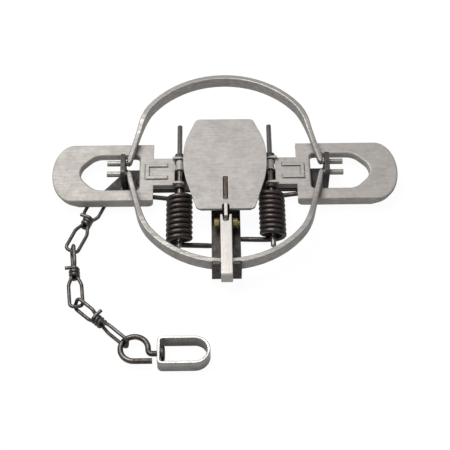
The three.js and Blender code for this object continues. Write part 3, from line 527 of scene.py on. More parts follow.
def ease(piece: Piece, width_mm: float, segments: int = 2) -> Piece:
    """Rounds a piece's sharp edges and shades it smoothly.

    Args:
        piece: The mesh object.
        width_mm: The rounding's width.
        segments: How many faces round each edge.

    Returns:
        The eased piece.
    """
    choose(piece)
    step = piece.modifiers.new("ease", "BEVEL")
    step.width = width_mm * MM
    step.segments = segments
    step.limit_method = "ANGLE"
    step.angle_limit = SHARP_ANGLE
    step.use_clamp_overlap = True
    bpy.ops.object.modifier_apply(modifier=step.name)
    bpy.ops.object.shade_smooth_by_angle(angle=SMOOTH_ANGLE)
    level = piece.modifiers.new("level", "WEIGHTED_NORMAL")
    level.weight = 100
    level.keep_sharp = True
    bpy.ops.object.modifier_apply(modifier=level.name)
    return piece


def trim(piece: Piece, point: Point, normal: Point) -> Piece:
    """Cuts away what lies beyond a plane, and closes the cut.

    Args:
        piece: The mesh object.
        point: A point of the plane, in millimetres.
        normal: The way out, towards what is cut away.

    Returns:
        The trimmed piece.
    """
    with editing(piece, "VERT", everything=True):
        bpy.ops.mesh.bisect(
            plane_co=tuple(c * MM for c in point), plane_no=normal, use_fill=True, clear_outer=True
        )
    return piece


def clean(piece: Piece) -> Piece:
    """Merges a mesh's doubles, dissolves its flat seams and turns its faces outwards.

    Args:
        piece: The mesh object.

    Returns:
        The cleaned piece.
    """
    with editing(piece, "VERT", everything=True):
        bpy.ops.mesh.remove_doubles(threshold=MERGE_GAP * MM)
        bpy.ops.mesh.dissolve_limited(angle_limit=FLAT_ANGLE)
        bpy.ops.mesh.normals_make_consistent(inside=False)
    return piece


def wire(
    name: str, runs: Sequence[tuple[Sequence[Vector], bool]], radius: float, sides: int = 12,
    swell: Sequence[float] | None = None,
) -> Piece:
    """Draws round wire along one or more runs of points given in millimetres.

    Args:
        name: The piece's name.
        runs: Each run's points, and whether it closes on itself.
        radius: The wire's radius.
        sides: How many faces go round it.
        swell: The share of the radius at each point of a single run, where it varies.

    Returns:
        One mesh object that holds every run.
    """
    made = []
    for points, closed in runs:
        deselect()
        bpy.ops.curve.primitive_nurbs_path_add()
        line = bpy.context.object
        line.data.splines.clear()
        spline = line.data.splines.new("POLY")
        spline.points.add(len(points) - 1)
        for target, point, share in zip(spline.points, points, swell or [1.0] * len(points)):
            target.co = (*(point * MM), 1)
            target.radius = share
        spline.use_cyclic_u = closed
        line.data.bevel_depth = radius * MM
        line.data.bevel_resolution = max(sides // 2 - 2, 0)
        line.data.use_fill_caps = not closed
        choose(line)
        bpy.ops.object.convert(target="MESH")
        made.append(bpy.context.object)
    deselect()
    for part in made:
        part.select_set(True)
    bpy.context.view_layer.objects.active = made[0]
    if len(made) > 1:
        bpy.ops.object.join()
    piece = settle(bpy.context.object, name)
    with editing(piece, "VERT", everything=True):
        bpy.ops.mesh.remove_doubles(threshold=WIRE_MERGE_GAP * MM)
        bpy.ops.mesh.normals_make_consistent(inside=False)
    choose(piece)
    bpy.ops.object.shade_smooth_by_angle(angle=WIRE_SMOOTH_ANGLE)
    return piece


def mirror_copy(piece: Piece, name: str) -> Piece:
    """Copies a piece to the other side of the trap, with its own mesh.

    Args:
        piece: The finished piece on one side.
        name: The copy's name.

    Returns:
        The mirrored copy, with its faces outwards.
    """
    twin = piece.copy()
    twin.data = piece.data.copy()
    bpy.context.scene.collection.objects.link(twin)
    twin.data.transform(Matrix.Scale(-1, 4, (1, 0, 0)))
    twin.name = name
    twin.data.name = name
    with editing(twin, "FACE", everything=True):
        bpy.ops.mesh.flip_normals()
    return twin


@dataclass
class Workshop:
    """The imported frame, and the ways that pieces are fitted to it."""

    frame: dict
    made: int = 0

    def fit(
        self, piece: Piece, body: str, nodes: Sequence[str], finish: SteelFinish, slot: str,
        bend: tuple[str, Point, Point] | None = None,
    ) -> Piece:
        """Lets a finished piece stand for nodes of the frame.

        Args:
            piece: The piece, in place.
            body: The body that it moves with.
            nodes: The nodes that it stands for.
            finish: Its surface.
            slot: The record's material slot; not used.
            bend: The second body of a piece that would bend between two, and the points in
            millimetres where the bend would start and end; only whether it is given is read: the
            piece then keeps its place baked into its mesh, unattached, and nothing bends it.

        Returns:
            The fitted piece.
        """
        piece.data.materials.clear()
        piece.data.materials.append(finish.material())
        if bend:
            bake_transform(piece)
        else:
            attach(piece, body)
        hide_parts(*nodes)
        self.made += 1
        LOG.info("fitted %s on %s, %d faces", piece.name, body, len(piece.data.polygons))
        return piece

    def copy_node(self, node: str, name: str) -> Piece:
        """Copies a node of the frame and merges its loose triangles.

        Args:
            node: The node's name.
            name: The new piece's name.

        Returns:
            The merged copy.
        """
        source = self.frame["nodes"][node]
        copy = bpy.data.objects.new(name, source.data.copy())
        bpy.context.scene.collection.objects.link(copy)
        choose(copy)
        bpy.ops.mesh.customdata_custom_splitnormals_clear()
        copy.data.name = name
        return clean(copy)

    def fit_eased(
        self, node: str, name: str, width_mm: float, body: str, finish: SteelFinish, slot: str,
        segments: int = 2,
    ) -> Piece:
        """Fits a copy of a node, with its edges rounded, in the node's place."""
        piece = ease(self.copy_node(node, name), width_mm, segments)
        return self.fit(piece, body, [node], finish, slot)


@dataclass
class Ironwork:
    """Base plate, cross arm and the fixings that hold the trap together."""

    shop: Workshop
    bars: tuple[tuple[str, str, float], ...] = (
        ("base_plate", "base_plate_bar", 0.7),
        ("cross_arm", "cross_arm_bar", 0.6),
        ("pan_bracket", "bracket_ears", 0.35),
    )
    rivet_radius: float = 4.0
    rivet_height: float = 1.5
    rivet_edge: float = 0.2
    shank_radius: float = 2.2
    shank_lap: float = 0.2
    rivet_seats: tuple[tuple[str, str, Point], ...] = (
        ("left_arm_rivet", "left_arm_rivet_head", (-6.0, 0.0, 6.8)),
        ("right_arm_rivet", "right_arm_rivet_head", (6.0, 0.0, 6.8)),
        ("pan_bracket_rivet", "bracket_rivet_head", (0.0, -60.5, 9.1)),
        ("chain_clip_rivet", "clip_rivet_head", (-66.0, -3.5, 6.2)),
    )
    web_low: Point = (-97.5, -17.0, 3.75)
    web_high: Point = (-81.3, 3.0, 5.85)
    web_edge: Point = (-83.6, 1.4, 0.0)
    web_out: Point = (-0.756, 0.655, 0.0)
    clip_edge: float = 0.35
    pin_reach: float = 3.4
    pin_chamfer: float = 0.5
    sleeve_edge: float = 0.25

    def build(self) -> None:
        """Builds and fits the ironwork."""
        shop = self.shop
        for node, name, width in self.bars:
            shop.fit_eased(node, name, width, "frame", SCALE, "dark_steel")
        shop.fit(self.clip("clip_plate"), "frame", ["chain_clip"], SCALE, "dark_steel")
        for node, name, seat in self.rivet_seats:
            shop.fit(self.rivet(name, seat, node), "frame", [node], SCALE, "dark_steel")
        for side in Side:
            pin, spacer = f"{side.word}_spring_pin", f"{side.word}_pin_spacer"
            sleeve = f"{side.word}_spacer_sleeve"
            shop.fit(self.spring_pin(side), "frame", [pin], ROD, "dark_steel")
            shop.fit_eased(spacer, sleeve, self.sleeve_edge, "frame", SHEET, "stamped_steel")

    def clip(self, name: str) -> Piece:
        """Widens the chain clip behind its eye, where the plate runs on past the jaw post.

        Args:
            name: The piece's name.

        Returns:
            The clip.
        """
        web = trim(block("web", self.web_low, self.web_high), self.web_edge, self.web_out)
        plate = carve(self.shop.copy_node("chain_clip", name), [web], Carve.WELD)
        return ease(clean(plate), self.clip_edge)

    def rivet(self, name: str, seat: Point, node: str) -> Piece:
        """Shapes a rivet with a domed, slightly hammered head.

        Args:
            name: The piece's name.
            seat: The middle of the head's underside, in millimetres.
            node: The node that gives its length.

        Returns:
            The rivet.
        """
        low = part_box(node)[0].z / MM
        x, y, z = seat
        deselect()
        bpy.ops.mesh.primitive_uv_sphere_add(
            segments=32, ring_count=16, radius=1, location=(x * MM, y * MM, z * MM),
            scale=(self.rivet_radius * MM, self.rivet_radius * MM, self.rivet_height * MM),
        )
        head = settle(bpy.context.object, name)
        with editing(head, "VERT", everything=True):
            bpy.ops.mesh.bisect(
                plane_co=(0, 0, z * MM), plane_no=(0, 0, 1), use_fill=True, clear_inner=True
            )
        shank = rod("shank", (x, y, low), (x, y, z + self.shank_lap), self.shank_radius)
        return ease(carve(head, [shank], Carve.WELD), self.rivet_edge)

    def spring_pin(self, side: Side) -> Piece:
        """Shapes a spring pin with chamfered ends.

        Args:
            side: Which end of the trap it is on.

        Returns:
            The pin.
        """
        low, high = (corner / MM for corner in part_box(f"{side.word}_spring_pin"))
        x, z, radius = (low.x + high.x) / 2, (low.z + high.z) / 2, (high.x - low.x) / 2
        start, end = (x, low.y - self.pin_reach, z), (x, high.y, z)
        pin = rod(f"{side.word}_pivot_pin", start, end, radius)
        bevel_edges(pin, lambda a, b: abs(a.y - b.y) < SNAP, self.pin_chamfer, segments=3)
        choose(pin)
        bpy.ops.object.shade_smooth_by_angle(angle=SMOOTH_ANGLE)
        return pin


@dataclass
class Levers:
    """The two pressed levers, each with skirts, an eye, a tongue, ears and a raised rib."""

    shop: Workshop
    edge: float = 0.35
    top: float = 14.2
    sheet: float = 2.2
    half: float = 27.5
    shoulder_x: float = 56.0
    round_x: float = 118.5
    tip_x: float = 135.0
    oval_sides: int = 96
    oval_slack: float = 0.004
    fold_round: float = 1.3
    skirt_low: float = 6.0
    skirt_corner: float = 4.2
    run_out: Range = (113.0, 127.0)
    eye: Triple = (67.0, 113.0, 16.7)
    eye_taper: float = 11.7
    eye_start: float = 20.0
    eye_rounds: Range = (3.0, 4.7)
    eye_cut: Range = (9.0, 3.0)
    rim_sheet: float = 1.8
    rim_depth: float = 6.0
    rim_roll: float = 1.6
    tongue_half: float = 13.0
    tongue_x: float = 39.4
    ear_sheet: float = 2.0
    ear_radius: float = 4.0
    ear_corner: float = 3.95
    ear_lap: float = 0.5
    ear_slope: Range = (5.5, 0.3)
    slope_reach: float = 30.0
    slope_high: float = 8.0
    pin: Range = (35.5, 12.8)
    pin_hole: float = 2.35
    drill_reach: float = 20.0
    rib_x: Range = (45.0, 61.9)
    rib_y: float = 5.9
    rib_half: float = 1.25
    rib_high: float = 0.9
    rib_groove: Range = (0.75, 0.5)

    def build(self) -> None:
        """Builds the right lever, mirrors it and fits both."""
        right = self.lever("right_lever_pressing")
        left = mirror_copy(right, "left_lever_pressing")
        for piece, side in ((right, Side.RIGHT), (left, Side.LEFT)):
            node = f"{side.word}_lever"
            self.shop.fit(ease(piece, self.edge), node, [node], SHEET, "stamped_steel")

    def lever(self, name: str) -> Piece:
        """Shapes the right lever from a plate, bent skirts and ears.

        Args:
            name: The piece's name.

        Returns:
            The lever, with its edges still sharp.
        """
        top, low = self.top, self.top - self.sheet
        plate = self.outline_form(0.0, low, top, name)
        tongue = block(
            "tongue",
            (self.tongue_x, -self.tongue_half, low),
            (self.shoulder_x + LAP, self.tongue_half, top),
        )
        ears = [self.ear(sign) for sign in (-1, 1)]
        rim = self.eye_form(self.rim_sheet, top - self.rim_depth, top - LAP)
        carve(plate, [self.skirts(), tongue, *ears, rim], Carve.WELD)
        self.round_top(clean(plate), self.on_outline, self.fold_round)
        below, above = self.eye_cut
        carve(plate, [self.eye_form(0.0, top - below, top + above)], Carve.CUT)
        self.round_top(plate, self.in_eye, self.rim_roll)
        grow, deep = self.rib_groove
        carve(plate, [self.drill(), *self.ribs(grow, top - deep, top + LAP)], Carve.CUT)
        carve(plate, self.ribs(0.0, top - LAP, top + self.rib_high), Carve.WELD)
        return clean(plate)

    def outline_form(self, inset: float, low: float, high: float, name: str = "outline") -> Piece:
        """Shapes the form of the lever's outline, with its half-oval end.

        Args:
            inset: How far it lies inside the lever's edge.
            low: Its underside.
            high: Its top.
            name: Its name.

        Returns:
            The form.
        """
        half = self.half - inset
        form = block(name, (self.shoulder_x - inset, -half, low), (self.round_x, half, high))
        deselect()
        bpy.ops.mesh.primitive_cylinder_add(
            vertices=self.oval_sides, radius=MM, depth=MM,
            location=(self.round_x * MM, 0, (low + high) / 2 * MM),
            scale=(self.tip_x - self.round_x - inset, half, high - low),
        )
        return carve(form, [settle(bpy.context.object, "end")], Carve.WELD)

    def skirts(self) -> Piece:
        """Shapes the turned-down skirts, which follow the round end and run out there.

        Returns:
            The skirts.
        """
        low, high = self.skirt_low, self.top - self.sheet + LAP
        form = self.outline_form(0.0, low, high)
        carve(form, [self.outline_form(self.sheet, low - LAP, high + LAP)], Carve.CUT)
        bevel_edges(
            form,
            lambda a, b: runs_along("y", a, b)
            and max(a.z, b.z) < low + NEAR
            and max(a.x, b.x) < self.shoulder_x + NEAR,
            self.skirt_corner,
            segments=8,
        )
        (x0, x1), drop = self.run_out, self.top - self.sheet - low
        slope = Vector((drop, 0.0, x0 - x1)).normalized()
        return trim(form, (x0, 0.0, low), tuple(slope))

    def on_outline(self, p: Vector) -> bool:
        """Whether a point lies on the lever's long sides or its round end.

        Args:
            p: The point, in millimetres.

        Returns:
            Whether it lies there.
        """
        if p.x <= self.round_x:
            return abs(abs(p.y) - self.half) < 2 * SNAP
        along = (p.x - self.round_x) / (self.tip_x - self.round_x)
        return abs(math.hypot(along, p.y / self.half) - 1) < self.oval_slack

    def in_eye(self, p: Vector) -> bool:
        """Whether a point lies within the eye's bounds."""
        near, far, half = self.eye
        return near - NEAR < p.x < far + NEAR and abs(p.y) < half + NEAR

    def round_top(self, plate: Piece, place: Callable[[Vector], bool], width: float) -> None:
        """Rounds the top's edges in one place, where the sheet is bent or drawn down.

        Args:
            plate: The lever's plate.
            place: Tells whether a point belongs to the place.
            width: The rounding's width.
        """
        level = self.top - SNAP
        bevel_edges(
            plate,
            lambda a, b: min(a.z, b.z) > level and place(a) and place(b),
            width,
            segments=4,
        )

    def ear(self, sign: int) -> Piece:
        """Shapes one ear, rounded about the spring pin.

        Args:
            sign: The side of the tongue that it hangs from.

        Returns:
            The ear.
        """
        outer, inner = sign * self.tongue_half, sign * (self.tongue_half - self.ear_sheet)
        x, z = self.pin
        ear = block(
            "ear",
            (x - self.ear_radius, min(outer, inner), z - self.ear_radius),
            (self.shoulder_x + self.ear_lap, max(outer, inner), z + self.ear_radius),
        )
        bevel_edges(
            ear,
            lambda a, b: max(a.x, b.x) < x and runs_along("y", a, b),
            self.ear_corner,
            segments=8,
        )
        along, drop = self.ear_slope
        slope = block(
            "slope",
            (x + along, -self.slope_reach, self.top - drop),
            (self.shoulder_x + 2 * LAP, self.slope_reach, self.top + self.slope_high),
        )
        return carve(ear, [slope], Carve.CUT)

    def eye_form(self, grow: float, low: float, high: float) -> Piece:
        """Shapes the form of the long eye, tapered towards the lever's tip.

        Args:
            grow: How far it lies outside the eye's edge.
            low: Its underside.
            high: Its top.

        Returns:
            The form.
        """
        near, far, half = self.eye
        small, large = self.eye_rounds
        form = block("eye", (near - grow, -half - grow, low), (far + grow, half + grow, high))
        for picked, width, segments in (
            (lambda a, b: min(a.x, b.x) > far - NEAR, self.eye_taper, 1),
            (lambda a, b: max(a.x, b.x) < near + LAP, small + grow, 5),
            (lambda a, b: min(a.x, b.x) > near + self.eye_start, large, 5),
        ):
            bevel_edges(
                form,
                lambda a, b, there=picked: there(a, b) and runs_along("z", a, b),
                width,
                segments,
            )
        return form

    def drill(self) -> Piece:
        """Shapes the drill for the spring pin's holes."""
        x, z = self.pin
        return rod("drill", (x, -self.drill_reach, z), (x, self.drill_reach, z), self.pin_hole)

    def ribs(self, grow: float, low: float, high: float) -> list[Piece]:
        """Shapes the pressed rib, open towards the pin, or the groove about it.

        Args:
            grow: How far it lies outside the rib's edge.
            low: Its underside.
            high: Its top.

        Returns:
            Its three bars.
        """
        start, end = self.rib_x[0] - grow, self.rib_x[1] + grow
        half = self.rib_half + grow
        bars = [
            block("rib", (start, y - half, low), (end, y + half, high))
            for y in (-self.rib_y, self.rib_y)
        ]
        bars.append(block("rib", (end - 2 * half, -self.rib_y, low), (end, self.rib_y, high)))
        return bars


@dataclass
class CoilSprings:
    """The two wound springs with their outer and inner legs."""

    shop: Workshop
    wire_radius: float = 1.8
    wire_sides: int = 14
    coil_swell: float = 1.1
    plain_points: tuple[int, int] = (3, 2)
    coil_radius: float = 8.3
    turns: int = 9
    steps: int = 28
    lean: float = 2.6
    front_y: dict[Side, float] = field(default_factory=lambda: {Side.RIGHT: 61.0, Side.LEFT: 65.2})
    rear_y: dict[Side, float] = field(default_factory=lambda: {Side.RIGHT: 18.4, Side.LEFT: 20.3})
    arm_y: dict[Side, float] = field(default_factory=lambda: {Side.RIGHT: 56.3, Side.LEFT: 62.0})
    pin: Range = (35.5, 12.8)
    outer_leg: Range = (63.5, 9.9)
    inner_leg: Triple = (11.1, 4.5, 1.8)
    inner_steps: int = 8
    inner_pull: float = 1.2
    bend_x: Range = (46.5, 62.0)

    def build(self) -> None:
        """Winds and fits both springs."""
        first, last = self.plain_points
        for side in Side:
            word = side.word
            path = self.path(side)
            coil = [self.coil_swell] * (len(path) - first - last)
            swell = [1.0] * first + coil + [1.0] * last
            runs = [(path, False)]
            piece = wire(f"{word}_wound_spring", runs, self.wire_radius, self.wire_sides, swell)
            start, end = ((side.value * x, -self.rear_y[side], self.pin[1]) for x in self.bend_x)
            bend = (f"{word}_lever", start, end)
            self.shop.fit(piece, "frame", [f"{word}_coil_spring"], SPRING, "spring_steel", bend)

    def path(self, side: Side) -> list[Vector]:
        """Gives the wire's middle line, from its outer leg to its inner one.

        Args:
            side: Which spring it is.

        Returns:
            Points in millimetres.
        """
        x, z = self.pin
        rear, front = self.rear_y[side], self.front_y[side]
        middle = rear + self.lean
        bottom = z - self.coil_radius
        leg_x, leg_z = self.outer_leg
        arm_x, _, low = self.inner_leg
        rise = math.atan2(leg_z - bottom, leg_x - x)
        dip = math.atan2(bottom - low, x - arm_x)
        start = -math.pi / 2 + rise
        end = -math.pi / 2 - 2 * math.pi * self.turns + dip
        points = [
            Vector((leg_x, -rear, leg_z)), Vector(((leg_x + x) / 2, -rear, (leg_z + bottom) / 2))
        ]
        count = self.turns * self.steps
        for i in range(count + 1):
            share = i / count
            angle = start + (end - start) * share
            points.append(
                Vector((
                    x + self.coil_radius * math.cos(angle),
                    -middle - (front - middle) * share - self.lean * math.sin(angle),
                    z + self.coil_radius * math.sin(angle),
                ))
            )
        points += self.inner_run(points[-1], side)
        return [Vector((side.value * p.x, p.y, p.z)) for p in points]

    def inner_run(self, last: Vector, side: Side) -> list[Vector]:
        """Leads the wire from the coil's last point back under the cross arm.

        Args:
            last: The coil's last point.
            side: Which spring it is.

        Returns:
            Points in millimetres.
        """
        arm_x, end_x, low = self.inner_leg
        y = -self.arm_y[side]
        run = []
        for i in range(1, self.inner_steps + 1):
            t = i / self.inner_steps
            turn = t * t * (1 + self.inner_pull - self.inner_pull * t)
            run.append(
                Vector((
                    last.x + (arm_x - last.x) * t,
                    last.y + (y - last.y) * turn,
                    last.z + (low - last.z) * t,
                ))
            )
        run.append(Vector((end_x, y, low)))
        return run


@dataclass
class Jaws:
    """The two bow jaws."""

    shop: Workshop
    edge: float = 0.45

    def build(self) -> None:
        """Eases and fits both jaws."""
        for which in ("front", "rear"):
            node = f"{which}_jaw"
            self.shop.fit_eased(node, f"{which}_jaw_bow", self.edge, node, STRIP, "jaw_steel")


@dataclass
class PanAndDog:
    """The pan with its shank and bolt, and the dog that it holds."""

    shop: Workshop
    edge: float = 0.35
    dog_edge: float = 0.5
    pan_top: float = 24.2
    pan_sheet: float = 1.8
    pan_rows: tuple[Range, ...] = ((44.2, 22.3), (19.5, 32.4), (-8.0, 32.4), (-43.2, 21.8))
    pan_corners: Range = (2.6, 10.0)
    front_round: float = 1.2
    lip: float = 2.6
    lip_lap: float = 0.6
    slot: Triple = (-34.3, -12.4, 1.9)
    notch: Range = (-38.5, 2.9)
    notch_round: float = 1.6
    weld_margins: Range = (0.5, 0.2)

    def build(self) -> None:
        """Builds and fits the pan, the dog and their fixings."""
        fit_eased = self.shop.fit_eased
        self.shop.fit(self.pan("pan_plate"), "pan", ["pan"], SHEET, "stamped_steel")
        shank = fit_eased("pan_shank", "pan_shank_blade", self.edge, "pan", BRIGHT, "bright_steel")
        self.tint_weld(shank)
        fit_eased("dog", "dog_bar", self.dog_edge, "dog", BRIGHT, "bright_steel", segments=3)
        for node, name in (("pan_bolt", "pan_bolt_hex"), ("pan_nut", "pan_nut_hex")):
            fit_eased(node, name, self.edge, "frame", ZINC, "yellow_plated")

    def tint_weld(self, shank: Piece) -> None:
        """Gives the part of the shank that fills the pan's slot the brown of its weld.

        Args:
            shank: The fitted shank.
        """
        shank.data.materials.append(WELD.material())
        before, below = self.weld_margins
        front, under = self.slot[0] - before, self.pan_top - self.pan_sheet - below
        for face in shank.data.polygons:
            if face.center.z > under * MM and face.center.y > front * MM:
                face.material_index = 1

    def pan(self, name: str) -> Piece:
        """Shapes the pan from a plate with cut corners, a lip, a slot and a notch.

        Args:
            name: The piece's name.

        Returns:
            The pan.
        """
        rows, top = self.pan_rows, self.pan_top
        rear, front = rows[0][0], rows[-1][0]
        wide = max(half for _, half in rows)
        under = top - self.pan_sheet
        plate = block(name, (-wide, front, under), (wide, rear, top))
        for (y0, h0), (y1, h1) in ((rows[0], rows[1]), (rows[3], rows[2])):
            for sign in (-1, 1):
                along = Vector((h1 - h0, y1 - y0, 0)).normalized()
                out = Vector((along.y, -along.x, 0))
                out = out if out.x > 0 else -out
                trim(plate, (sign * h0, y0, 0), (sign * out.x, out.y, 0))
        small, large = self.pan_corners
        for picked, width, segments in (
            (lambda a, b: runs_along("z", a, b) and abs(a.x) > wide - LAP, large, 8),
            (
                lambda a, b: runs_along("z", a, b) and not front + LAP <= a.y <= rear - LAP,
                small,
                5,
            ),
            (
                lambda a, b: min(a.z, b.z) > top - SNAP and max(a.y, b.y) < front + SNAP,
                self.front_round,
                4,
            ),
        ):
            bevel_edges(plate, picked, width, segments)
        half = rows[-1][1] - small
        lip_top = under + self.lip_lap
        lip = block("lip", (-half, front, top - self.lip), (half, front + self.pan_sheet, lip_top))
        carve(plate, [lip], Carve.WELD)
        low, high, slot_half = self.slot
        slot = block("slot", (-slot_half, low, under - 2 * LAP), (slot_half, high, top + 2 * LAP))
        bevel_edges(slot, lambda a, b: runs_along("z", a, b), slot_half / 2, segments=4)
        depth, notch_half = self.notch
        notch = block(
            "notch",
            (-notch_half, front - 2 * LAP, under - 4 * LAP),
            (notch_half, depth, top + 2 * LAP),
        )
        bevel_edges(
            notch,
            lambda a, b: runs_along("z", a, b) and min(a.y, b.y) > depth - NEAR,
            self.notch_round,
            segments=4,
        )
        carve(plate, [slot, notch], Carve.CUT)
        return ease(clean(plate), self.edge)


@dataclass
class Link:
    """One double-loop link of the chain, from its start to its end."""

    node: str
    body: str
    start: Point
    end: Point
    tilts: Range
    tail_way: int
    first_half: float


@dataclass
class Chain:
    """Three knotted wire links, the swivel's eye and its strap."""

    shop: Workshop
    wire_radius: float = 1.37
    wire_sides: int = 12
    wire_end: float = 1.35
    half: float = 4.84
    first_half: float = 6.0
    corner: float = 3.0
    side_steps: int = 14
    corner_steps: int = 7
    knot_share: float = 0.45
    knot_radius: float = 2.9
    knot_turns: float = 2.75
    knot_steps: int = 24
    tail: float = 6.6
    waist: float = 0.3
    spread: float = 0.4
    length: float = 55.0
    overlap: float = 5.85
    stops: tuple[Point, ...] = (
        (-98.3, -19.5, 3.4), (-118.4, -70.7, 6.5), (-110.6, -118.4, 6.1), (-70.9, -150.9, 6.3),
    )
    forms: tuple[tuple[Range, int], ...] = (
        ((0.0, 12.0), 1), ((-76.0, 5.0), 1), ((-60.0, -80.0), -1),
    )
    eye_radius: float = 2.1
    eye_sides: int = 16
    eye_smooth: float = math.radians(40)
    ring: Triple = (-67.4, -153.3, 10.0)
    ring_turn: float = 1.5 * math.pi
    ring_steps: int = 48
    shank_y: float = -157.4
    shank_bend: float = 3.0
    bend_steps: int = 8
    shank_z: float = 5.9
    head_x: Range = (-48.1, -45.3)
    head_radius: float = 5.6
    head_sides: int = 40
    head_round: float = 1.5
    strap_edge: float = 0.3

    def links(self) -> list[Link]:
        """Lays the links end to end through the stops.

        Returns:
            The three links, with their ends in millimetres.
        """
        reach = self.length - 2 * self.wire_end
        start = Vector(self.stops[0])
        laid = []
        for number, (stop, (tilts, way)) in enumerate(zip(self.stops[1:], self.forms), 1):
            heading = (Vector(stop) - start).normalized()
            end = start + heading * reach
            node, body = f"chain_link_{number}", f"link_{number}"
            half = self.first_half if number == 1 else self.half
            laid.append(Link(node, body, tuple(start), tuple(end), tilts, way, half))
            start = end - heading * (self.overlap - 2 * self.wire_end)
        return laid

    def build(self) -> None:
        """Builds and fits the links and the swivel."""
        fit = self.shop.fit
        for link in self.links():
            piece = wire(f"{link.node}_wire", self.runs(link), self.wire_radius, self.wire_sides)
            fit(piece, link.body, [link.node], WIRE, "chain_steel")
        fit(self.eye("swivel_eye_rod"), "eye", ["swivel_eye"], WIRE, "chain_steel")
        self.shop.fit_eased(
            "swivel_body", "swivel_strap", self.strap_edge, "swivel", STRAP, "swivel_steel"
        )

    def runs(self, link: Link) -> list[tuple[list[Vector], bool]]:
        """Gives a link's two loops and its knot as runs of wire.

        Args:
            link: The link.

        Returns:
            Runs of points in millimetres, and whether each closes.
        """
        start, end = Vector(link.start), Vector(link.end)
        heading = (end - start).normalized()
        side = heading.cross(Vector((0, 0, 1))).normalized()
        up = side.cross(heading)
        reach = (end - start).length
        knot = start + heading * reach * self.knot_share
        loops = (
            (start, 1, self.knot_share, link.tilts[0], link.first_half),
            (end, -1, 1 - self.knot_share, link.tilts[1], self.half),
        )
        runs = []
        for foot, way, share, tilt, half in loops:
            wide = side * math.cos(math.radians(tilt)) + up * math.sin(math.radians(tilt))
            size = reach * share
            loop = [
                foot + heading * way * (size - x) + wide * y * self.width(x / size)
                for x, y in self.outline(size, half)
            ]
            runs.append((loop, True))
        length = self.knot_turns * 2 * self.wire_radius
        count = int(self.knot_turns * self.knot_steps)
        first = knot - heading * length / 2
        wraps = [first + side * link.tail_way * self.tail + up * self.knot_radius]
        for i in range(count + 1):
            angle = math.pi / 2 + link.tail_way * 2 * math.pi * self.knot_turns * i / count
            spoke = side * math.cos(angle) + up * math.sin(angle)
            wraps.append(first + heading * length * i / count + spoke * self.knot_radius)
        runs.append((wraps, False))
        return runs

    def width(self, share: float) -> float:
        """How wide a loop is at a share of its length from the knot."""
        t = min(share / self.spread, 1.0)
        return self.waist + (1 - self.waist) * t * t * (3 - 2 * t)

    def outline(self, size: float, half: float) -> list[Range]:
        """Gives a loop's outline before it is drawn in at the knot.

        Args:
            size: The loop's length.
            half: Half its width.

        Returns:
            Places along and across the loop.
        """
        reach, corner = size - self.corner, self.corner
        side = [(reach * i / self.side_steps, half) for i in range(self.side_steps + 1)]
        arc = [
            (reach + corner * math.sin(t), half - corner + corner * math.cos(t))
            for t in (
                math.pi / 2 * i / self.corner_steps for i in range(1, self.corner_steps + 1)
            )
        ]
        upper = side + arc
        return upper + [(x, -y) for x, y in reversed(upper)]

    def eye(self, name: str) -> Piece:
        """Bends the swivel's eye and upsets its head.

        Args:
            name: The piece's name.

        Returns:
            The eye.
        """
        x, y, radius = self.ring
        right, shank_y, z = x + radius, self.shank_y, self.shank_z
        start, end = Vector((right + self.shank_bend, shank_y, z)), Vector((right, y, z))
        middle = Vector((right, shank_y, z))
        points = [Vector((self.head_x[0] + LAP, shank_y, z)), start]
        for i in range(1, self.bend_steps + 1):
            t = i / self.bend_steps
            points.append(start * (1 - t) ** 2 + middle * 2 * t * (1 - t) + end * t * t)
        for i in range(1, self.ring_steps + 1):
            angle = self.ring_turn * i / self.ring_steps
            points.append(Vector((x + radius * math.cos(angle), y + radius * math.sin(angle), z)))
        points.append(Vector((right + self.shank_bend, y - radius, z)))
        piece = wire(name, [(points, False)], self.eye_radius, self.eye_sides)
        near, far = self.head_x
        head = rod("head", (near, shank_y, z), (far, shank_y, z), self.head_radius, self.head_sides)
        bevel_edges(
            head,
            lambda a, b: min(a.x, b.x) > far - SNAP and abs(a.x - b.x) < SNAP,
            self.head_round,
            segments=5,
        )
        carve(piece, [head], Carve.WELD)
        choose(piece)
        bpy.ops.object.shade_smooth_by_angle(angle=self.eye_smooth)
        return piece


